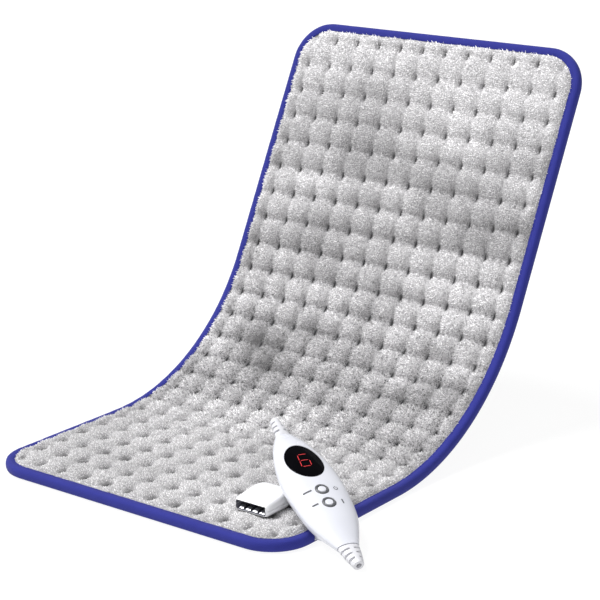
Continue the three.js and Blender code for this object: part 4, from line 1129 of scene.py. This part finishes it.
# Painted shade: the inside walls of the mouth take the dark grey, for the shade in the recess.
plug.data.materials.append(mouth_painted_shade)
for face in plug.data.polygons:
    x, y, z = face.center
    in_mouth = abs(x) <= MOUTH_HALF + HAIR and PLUG_WALL - HAIR <= z <= MOUTH_TOP + HAIR
    on_front = y < PLUG_ROUNDING + 0.0002 and face.normal.y < -0.05
    face.material_index = int(in_mouth and y < PLUG_STRAIGHT + HAIR and not on_front)
plug_under = new_object("plug_lower", plug.data.copy())
for half, seam, is_top, node in (
    (plug, PLUG_SEAM, True, "plug_cover"),
    (plug_under, -PLUG_SEAM, False, "plug_base"),
):
    open_mesh(half)
    bpy.ops.mesh.bisect(
        plane_co=(0, 0, PLUG_SPLIT + seam),
        plane_no=(0, 0, 1),
        use_fill=True,
        clear_inner=is_top,
        clear_outer=not is_top,
    )
    bpy.ops.mesh.select_all(action="SELECT")
    bpy.ops.mesh.remove_doubles(threshold=0.000005)
    close_mesh()
    smooth(half, 32)
    on_plug(half, node)
dress(dark_plastic, "plug_carrier")
for number in range(1, 5):
    spring = new_grid("contact_spring_%d" % number, 4, 24, location=(0, 0.5, 0))
    share = places(spring)
    x = (number - 2.5) * SPRING_PITCH + share[:, 0] * SPRING_WIDTH
    y = SPRING_ENDS[0] + share[:, 1] * (SPRING_ENDS[1] - SPRING_ENDS[0])
    bow = SPRING_RISE * np.sin(share[:, 1] * math.pi) ** 0.7
    put(spring, np.column_stack([x, y, PLUG_WALL + SPRING_GAP + bow]))
    thickened(spring, SPRING_THICKNESS, 1)
    smooth(spring, 40)
    spring.data.materials.append(tinned)
    on_plug(spring, "plug_contact_%d" % number)


# Controller case. Two glossy white shells, egg-shaped, screwed together from behind, with an oval window
# and two round seats for the button rings in the upper one. It leans on the plug.
CASE_START = (0.190925, -0.046931, 0.011028)
CASE_TURN = math.radians(60)
CASE_TILT = math.radians(19.475)
CASE_LENGTH = 0.131
CASE_WIDTH = 0.047
FACE_RISE = 0.0105
BACK_DEPTH = 0.015
CASE_WALL = 0.002
CASE_SEAM = 0.00012
CASE_STATIONS = ((0, 0.38), (0.19, 0.81), (0.37, 0.966), (0.56, 1), (0.73, 0.88), (0.89, 0.61), (1, 0.29))
WINDOW_AT = 0.090
WINDOW_SIZE = (0.029, 0.042)
BUTTON_PLACES = {"power": 0.0545, "level": 0.040}
RING_OUTER = 0.0053
RING_GAP = 0.0002
SCREW_HOLE = 0.0029
SCREW_ASIDE = 0.0085
SCREW_ENDS = (0.0155, CASE_LENGTH - 0.0155)
THROUGH_FACE = (0.001, 0.03)
THROUGH_BACK = (-0.03, -0.0005)
case_frame = (
    Matrix.Translation(CASE_START) @ Matrix.Rotation(CASE_TURN, 4, "Z") @ Matrix.Rotation(CASE_TILT, 4, "X")
)


def through_stations(stations, steps=24):
    """A smooth line through the stations, as two lists for interpolation."""
    knots = np.array(stations)
    line = []
    for index in range(len(knots) - 1):
        before = knots[max(index - 1, 0)]
        after = knots[min(index + 2, len(knots) - 1)]
        first, second = knots[index], knots[index + 1]
        for share in np.linspace(0, 1, steps, endpoint=False):
            pull = (second - before) / 2, (after - first) / 2
            cube, square = share**3, share**2
            line.append(
                (2 * cube - 3 * square + 1) * first
                + (cube - 2 * square + share) * pull[0]
                + (3 * square - 2 * cube) * second
                + (cube - square) * pull[1]
            )
    line.append(knots[-1])
    return np.array(line).T


case_line = through_stations(CASE_STATIONS)


def case_half(along):
    return np.interp(np.asarray(along) / CASE_LENGTH, *case_line) * CASE_WIDTH / 2


def face_height(x, along):
    """Height of the face over the case's middle plane."""
    half = case_half(along)
    return half * FACE_RISE / (CASE_WIDTH / 2) * np.sqrt(np.maximum(0, 1 - (np.asarray(x) / half) ** 2))


def on_face(x, along, rise):
    """Places on the case's face, or a little over or under it."""
    return np.column_stack([x, along, face_height(x, along) + CASE_SEAM + rise])


def half_shell(name, rise, side):
    """One egg-shaped shell with its wall, from its middle plane up or down."""
    shell = new_grid(name, 56, 72, location=(0.5, 0.5, 0))
    share = places(shell)
    angle = share[:, 0] * math.pi
    along = share[:, 1] * CASE_LENGTH
    half = case_half(along)
    height = side * (CASE_SEAM + half * rise / (CASE_WIDTH / 2) * np.sin(angle))
    put(shell, np.column_stack([-half * np.cos(angle), along, height]))
    if side < 0:
        open_mesh(shell)
        bpy.ops.mesh.flip_normals()
        close_mesh()
    thickened(shell, CASE_WALL, -1)
    return shell


def new_rod(radius, ends, x, along, sides=64):
    """An upright rod in the case's frame, between two heights."""
    return new_piece(
        "rod",
        bpy.ops.mesh.primitive_cylinder_add,
        vertices=sides,
        radius=radius,
        depth=ends[1] - ends[0],
        location=(x, along, (ends[0] + ends[1]) / 2),
    )


def on_controller(piece, material, slot, *nodes, body="controller"):
    """Sets a piece made in the case's frame in its place, for the solids that it stands for."""
    piece.data.transform(case_frame)
    piece.data.materials.append(material)
    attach(piece, body)
    if nodes:
        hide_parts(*nodes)


upper = half_shell("case_upper", FACE_RISE, 1)
window = new_rod(1, THROUGH_FACE, 0, 0, 128)
oval = Matrix.Diagonal((WINDOW_SIZE[0] / 2, WINDOW_SIZE[1] / 2, 1, 1))
window.data.transform(Matrix.Translation((0, WINDOW_AT, 0)) @ oval)
cut_away(upper, window)
for along in BUTTON_PLACES.values():
    cut_away(upper, new_rod(RING_OUTER + RING_GAP, THROUGH_FACE, 0, along))
lower = half_shell("case_lower", BACK_DEPTH, -1)
for x in (-SCREW_ASIDE, SCREW_ASIDE):
    for along in SCREW_ENDS:
        cut_away(lower, new_rod(SCREW_HOLE, THROUGH_BACK, x, along, 32))
for shell, node in ((upper, "upper_shell"), (lower, "lower_shell")):
    smooth(shell, 38)
    on_controller(shell, white_plastic, "white_plastic", node)


# Window of the controller. A black tinted acrylic lens, flush in the oval opening, with one lit red digit.
LENS_GAP = 0.0002
LENS_THICKNESS = 0.0018
LENS_RIM = 0.96
LENS_DROP = 0.0003
DIGIT_SIZE = (0.0080, 0.0150)
DIGIT_STROKE = 0.00055
DIGIT_SLANT = 0.12
DIGIT_RISE = 0.00002
PRINT_THICKNESS = 0.00006
lens = new_grid("window_lens", 36, 48, size=2)
square = places(lens)
disc_x = square[:, 0] * np.sqrt(1 - square[:, 1] ** 2 / 2)
disc_y = square[:, 1] * np.sqrt(1 - square[:, 0] ** 2 / 2)
lens_x = disc_x * (WINDOW_SIZE[0] / 2 - LENS_GAP)
lens_y = WINDOW_AT + disc_y * (WINDOW_SIZE[1] / 2 - LENS_GAP)
rim_drop = LENS_DROP * np.clip((np.hypot(disc_x, disc_y) - LENS_RIM) / (1 - LENS_RIM), 0, 1) ** 2
put(lens, on_face(lens_x, lens_y, -rim_drop))
thickened(lens, LENS_THICKNESS, -1)
smooth(lens, 50)
black_acrylic, tree, shader, smears = mottled(
    "black_acrylic",
    90,
    3,
    (0.3, (0.0014, 0.0014, 0.0022)),
    (0.7, (0.0024, 0.0024, 0.0034)),
    Specular_IOR_Level=0.02,
)
wire_up(tree, (ranged(tree, smears, 0.05, 0.14), shader.inputs["Roughness"]))
on_controller(lens, black_acrylic, "black_lens", "display_lens")


def printed(name, middle, size, turn, rise, pinch=0.0):
    """A thin mark that follows the face: its middle, length and width, and turn on the face."""
    mark = new_grid(name, 14, 2)
    spots = places(mark)
    narrow = 1 - pinch * (np.abs(spots[:, 0]) > 0.46)
    long, wide = spots[:, 0] * size[0], spots[:, 1] * size[1] * narrow
    x = middle[0] + long * math.cos(turn) - wide * math.sin(turn)
    along = middle[1] + long * math.sin(turn) + wide * math.cos(turn)
    put(mark, on_face(x, along, rise))
    return mark


def print_of(name, marks):
    """Marks of one print as one piece with a little body."""
    piece = joined(name, marks)
    thickened(piece, PRINT_THICKNESS, 1)
    return piece


def digit_stroke(x, y, length, turn):
    """A stroke of the digit, which leans over by its slant."""
    middle = (x + y * DIGIT_SLANT, WINDOW_AT + y)
    return printed("stroke", middle, (length, DIGIT_STROKE), turn, DIGIT_RISE, 0.7)


digit_x, digit_y = DIGIT_SIZE[0] / 2, DIGIT_SIZE[1] / 2
strokes = [digit_stroke(0, up * digit_y, digit_x * 1.5, 0) for up in (1, 0, -1)]
for side, up in ((-1, 1), (-1, -1), (1, -1)):
    upright = math.pi / 2 - DIGIT_SLANT
    strokes.append(digit_stroke(side * digit_x, up * digit_y / 2, digit_y * 0.82, upright))
digit = print_of("lit_digit", strokes)
red_light, tree, shader, glow = mottled(
    "red_light",
    1400,
    2,
    (0.3, (0.30, 0.01, 0.012)),
    (0.7, (0.4, 0.02, 0.02)),
    Roughness=0.4,
    Emission_Strength=0.85,
)
lit = ramp(tree, glow, (0.3, (0.38, 0.018, 0.023)), (0.7, (0.52, 0.030, 0.037)))
wire_up(tree, (lit, shader.inputs["Emission Color"]))
on_controller(digit, red_light, "black_lens")


# Buttons and their rings. Two white convex caps that press down in dark grey rings set in the face.
BUTTON_RADIUS = 0.0032
BUTTON_PROUD = 0.0007
RING_PROUD = 0.0002
RING_HEIGHT = 0.0032
RING_BORE = BUTTON_RADIUS + 0.0003
RING_EDGE = 0.0004
STEM_FOOT = 0.0015
STEM_RADIUS = 0.002
FLANGE_RADIUS = BUTTON_RADIUS + 0.0011
FLANGE_DROPS = (0.0015, 0.0003)


def turned(name, profile, along, sides=64):
    """A round piece made ring by ring from a profile of (radius, height), about an upright axis."""
    piece = new_piece(
        name,
        bpy.ops.mesh.primitive_circle_add,
        vertices=sides,
        radius=profile[0][0],
        location=(0, 0, profile[0][1]),
    )
    open_mesh(piece)
    for (radius, height), (last_radius, last_height) in zip(profile[1:], profile):
        bpy.ops.mesh.extrude_edges_move(TRANSFORM_OT_translate={"value": (0, 0, height - last_height)})
        grow = radius / last_radius
        bpy.ops.transform.resize(value=(grow, grow, 1), center_override=(0, 0, 0))
    bpy.ops.mesh.select_all(action="SELECT")
    bpy.ops.mesh.remove_doubles(threshold=0.000004)
    bpy.ops.mesh.select_all(action="DESELECT")
    bpy.ops.mesh.select_non_manifold()
    bpy.ops.mesh.edge_face_add()
    bpy.ops.mesh.select_all(action="SELECT")
    bpy.ops.mesh.normals_make_consistent(inside=False)
    close_mesh()
    piece.data.transform(Matrix.Translation((0, along, 0)))
    smooth(piece, 35)
    return piece


grey_plastic = moulded_plastic("grey_plastic", (0.070, 0.073, 0.080), (0.095, 0.098, 0.106), 0.34, 0.2)
for label, along in BUTTON_PLACES.items():
    face = float(face_height(0, along)) + CASE_SEAM
    top = face + RING_PROUD
    foot = top - RING_HEIGHT
    crown = face + BUTTON_PROUD
    ring_line = (
        (RING_BORE, foot),
        (RING_BORE, top - RING_EDGE),
        (RING_BORE + 0.0003, top),
        (RING_BORE + 0.0009, top + 0.00018),
        (RING_OUTER - RING_EDGE, top),
        (RING_OUTER, top - RING_EDGE),
        (RING_OUTER, foot),
        (RING_BORE, foot),
    )
    cap_line = (
        (STEM_RADIUS, STEM_FOOT),
        (STEM_RADIUS, foot - FLANGE_DROPS[0]),
        (FLANGE_RADIUS, foot - FLANGE_DROPS[0]),
        (FLANGE_RADIUS, foot - FLANGE_DROPS[1]),
        (BUTTON_RADIUS, foot - FLANGE_DROPS[1]),
        (BUTTON_RADIUS, crown - 0.0006),
        (BUTTON_RADIUS - 0.0002, crown - 0.00025),
        (BUTTON_RADIUS - 0.0006, crown - 0.00006),
        (0.0018, crown + 0.00004),
        (0.0008, crown + 0.0001),
    )
    ring = turned(label + "_bezel", ring_line, along)
    on_controller(ring, grey_plastic, "grey_plastic", label + "_ring")
    cap = turned(label + "_cap", cap_line, along)
    on_controller(cap, white_plastic, "white_plastic", label + "_button", body=label + "_button_body")


# Marks printed on the face. A power sign and a level bar beside the buttons, and a dash before each.
MARK_RISE = 0.00006
SIGNS_ASIDE = 0.0112
SIGN_RADIUS = 0.0016
SIGN_STROKE = 0.0005
SIGN_STEM = 0.0015
BAR_SIZE = (0.0046, 0.0011)
DASH_WIDTH = 0.0015
DASH_AHEAD = 0.0004
DASH_TURN = math.radians(8)


def arc(name, middle, radius, width, first, sweep):
    """A bent mark on the face."""
    mark = printed(name, (0, 0), (1, 1), 0, 0)
    open_mesh(mark)
    bpy.ops.mesh.subdivide(number_cuts=1)
    close_mesh()
    spots = places(mark)
    angle = first + (spots[:, 0] + 0.5) * sweep
    reach = radius - spots[:, 1] * width
    x = middle[0] + reach * np.cos(angle)
    along = middle[1] + reach * np.sin(angle)
    put(mark, on_face(x, along, MARK_RISE))
    return mark


power_y, level_y = BUTTON_PLACES["power"], BUTTON_PLACES["level"]
sign_place = (SIGNS_ASIDE, power_y)
stem_place = (SIGNS_ASIDE, power_y + 0.0015)
marks = [
    arc("sign", sign_place, SIGN_RADIUS, SIGN_STROKE, math.radians(120), math.radians(300)),
    printed("sign", stem_place, (SIGN_STEM, SIGN_STROKE), math.pi / 2, MARK_RISE),
    printed("bar", (SIGNS_ASIDE, level_y), BAR_SIZE, math.pi / 2, MARK_RISE),
]
for x, along, length in ((-0.0118, power_y, 0.0072), (-0.0110, level_y, 0.0052)):
    marks.append(printed("dash", (x, along + DASH_AHEAD), (length, DASH_WIDTH), DASH_TURN, MARK_RISE))
grey_ink = mottled(
    "grey_ink", 2400, 2, (0.35, (0.035, 0.036, 0.042)), (0.65, (0.09, 0.09, 0.10)), Roughness=0.6
)[0]
on_controller(print_of("face_marks", marks), grey_ink, "grey_plastic")


# Cord boots. Soft white strain reliefs at both ends of the case, tapered, with three pairs of slots that
# let them flex, and a bore for the cord.
BOOT_LENGTH = 0.020
BOOT_GAP = 0.0003
BOOT_SLOTS = 3
BOOT_SPINE = 0.0032
BOOT_ROUNDING = 0.0005
BOOT_SWELL = 0.05
SLOT_WIDTH = 0.0018
LOWER_BOOT = (0.017, 0.0084)
UPPER_BOOT = (0.012, 0.0072)
soft_white = moulded_plastic("soft_white", (0.56, 0.56, 0.59), (0.62, 0.62, 0.65), 0.42, 0.15)


def boot(name, widths, start, reach, node):
    """A boot from the case's end at start, reaching along the case, with widths there and at its tip."""
    base, tip = widths
    piece = new_piece(
        name,
        bpy.ops.mesh.primitive_cylinder_add,
        vertices=48,
        radius=1,
        depth=1,
        location=(0, 0.5, 0),
        rotation=(-math.pi / 2, 0, 0),
    )
    sliced(piece, (0, 1, 0), np.linspace(0.08, 0.92, 9))
    spots = places(piece)
    share = spots[:, 1]
    half = (base + (tip - base) * share) / 2 * (1 + BOOT_SWELL * np.sin(share * math.pi))
    flat_face = np.where(spots[:, 2] > 0, FACE_RISE, BACK_DEPTH) / (CASE_WIDTH / 2)
    upright = flat_face + (1 - flat_face) * share
    put(piece, np.column_stack([spots[:, 0] * half, start + reach * share, spots[:, 2] * half * upright]))
    open_mesh(piece)
    bpy.ops.mesh.normals_make_consistent(inside=False)
    close_mesh()
    rounded(piece, BOOT_ROUNDING, 3, 45)
    cut_away(piece, cord_bore((0, start + reach / 2, 0), 2 * BOOT_LENGTH))
    for slot in range(BOOT_SLOTS):
        at = start + reach * (slot + 1) / (BOOT_SLOTS + 1)
        for side in (-1, 1):
            near, far = sorted((side * BOOT_SPINE / 2, side * base))
            tool = new_cube("slot", (near, at - SLOT_WIDTH / 2, -base), (far, at + SLOT_WIDTH / 2, base))
            rounded(tool, BOOT_ROUNDING, 3, 30)
            cut_away(piece, tool)
    smooth(piece, 35)
    on_controller(piece, soft_white, "white_plastic", node)


boot("boot_lower", LOWER_BOOT, -BOOT_GAP, -BOOT_LENGTH, "lower_boot")
boot("boot_upper", UPPER_BOOT, CASE_LENGTH + BOOT_GAP, BOOT_LENGTH, "upper_boot")


# Inside the case. A green circuit board with the digit, two switches, a triac and a thermal fuse, held by
# two screws, and the four screws of the case. They are the solids themselves.
board_green, tree, shader = new_material("board_green", Roughness=0.4)
traces = tree.nodes.new("ShaderNodeTexBrick")
traces.inputs["Scale"].default_value = 160
traces.inputs["Color1"].default_value = (0.012, 0.10, 0.045, 1)
traces.inputs["Color2"].default_value = (0.018, 0.13, 0.06, 1)
traces.inputs["Mortar"].default_value = (0.03, 0.20, 0.09, 1)
wire_up(tree, (object_place(tree), traces.inputs["Vector"]))
painted(shader, traces.outputs["Color"])
dress(board_green, "circuit_board")
dress(dark_plastic, "digit_display", "power_switch", "level_switch", "triac")
dress(tinned, "thermal_fuse", *numbered("case_screw", 4), *numbered("board_screw", 2))


# Studio. A pale floor, broad soft lights and the camera, set as the picture was taken.
FLOOR_SIZE = 14
FLOOR_HEIGHT = -0.0008
SKY_STRENGTH = 0.32
LIT_POINT = (0, 0.1, 0.1)
CAMERA_PLACE = (0.9564, -1.1210, 0.5889)
CAMERA_DIP = 16.44
CAMERA_TURN = 37.01
SENSOR_WIDTH = 36
FOCAL_LENGTH = 117
floor = new_piece("floor", bpy.ops.mesh.primitive_plane_add, size=FLOOR_SIZE, location=(0, 0, FLOOR_HEIGHT))
floor_grey = (0.12, 0.12, 0.12, 1)
white = (1, 1, 1, 1)
floor_paint = {"Base_Color": floor_grey, "Emission_Color": white, "Emission_Strength": 0.9}
floor.data.materials.append(new_material("pale_floor", Roughness=0.9, **floor_paint)[0])
world = bpy.data.worlds.new("studio")
world.use_nodes = True
tree = world.node_tree
sky = tree.nodes["Background"]
sky.inputs["Color"].default_value = white
seen = tree.nodes.new("ShaderNodeLightPath").outputs["Is Camera Ray"]
wire_up(tree, (ranged(tree, seen, SKY_STRENGTH, 1), sky.inputs["Strength"]))
bpy.context.scene.world = world


def soft_light(name, place, spread, strength):
    """A broad distant light that shines from a place to the pad, as wide as spread degrees."""
    lamp = bpy.data.lights.new(name, "SUN")
    lamp.angle = math.radians(spread)
    lamp.energy = strength
    holder = new_object(name, lamp)
    away = np.array(place) - np.array(LIT_POINT)
    flat_run = math.hypot(away[0], away[1])
    holder.location = place
    holder.rotation_euler = (math.atan2(flat_run, away[2]), 0, math.atan2(away[0], -away[1]))


soft_light("overhead", (-0.95, -0.45, 2.0), 30, 4.1)
soft_light("fill", (0.9, -1.2, 0.9), 70, 1.15)
lens_data = bpy.data.cameras.new("camera")
lens_data.sensor_width = SENSOR_WIDTH
lens_data.lens = FOCAL_LENGTH
camera = new_object("camera", lens_data)
camera.location = CAMERA_PLACE
camera.rotation_euler = (math.radians(90 - CAMERA_DIP), 0, math.radians(CAMERA_TURN))
bpy.context.scene.camera = camera
bpy.context.scene.view_settings.view_transform = "Standard"
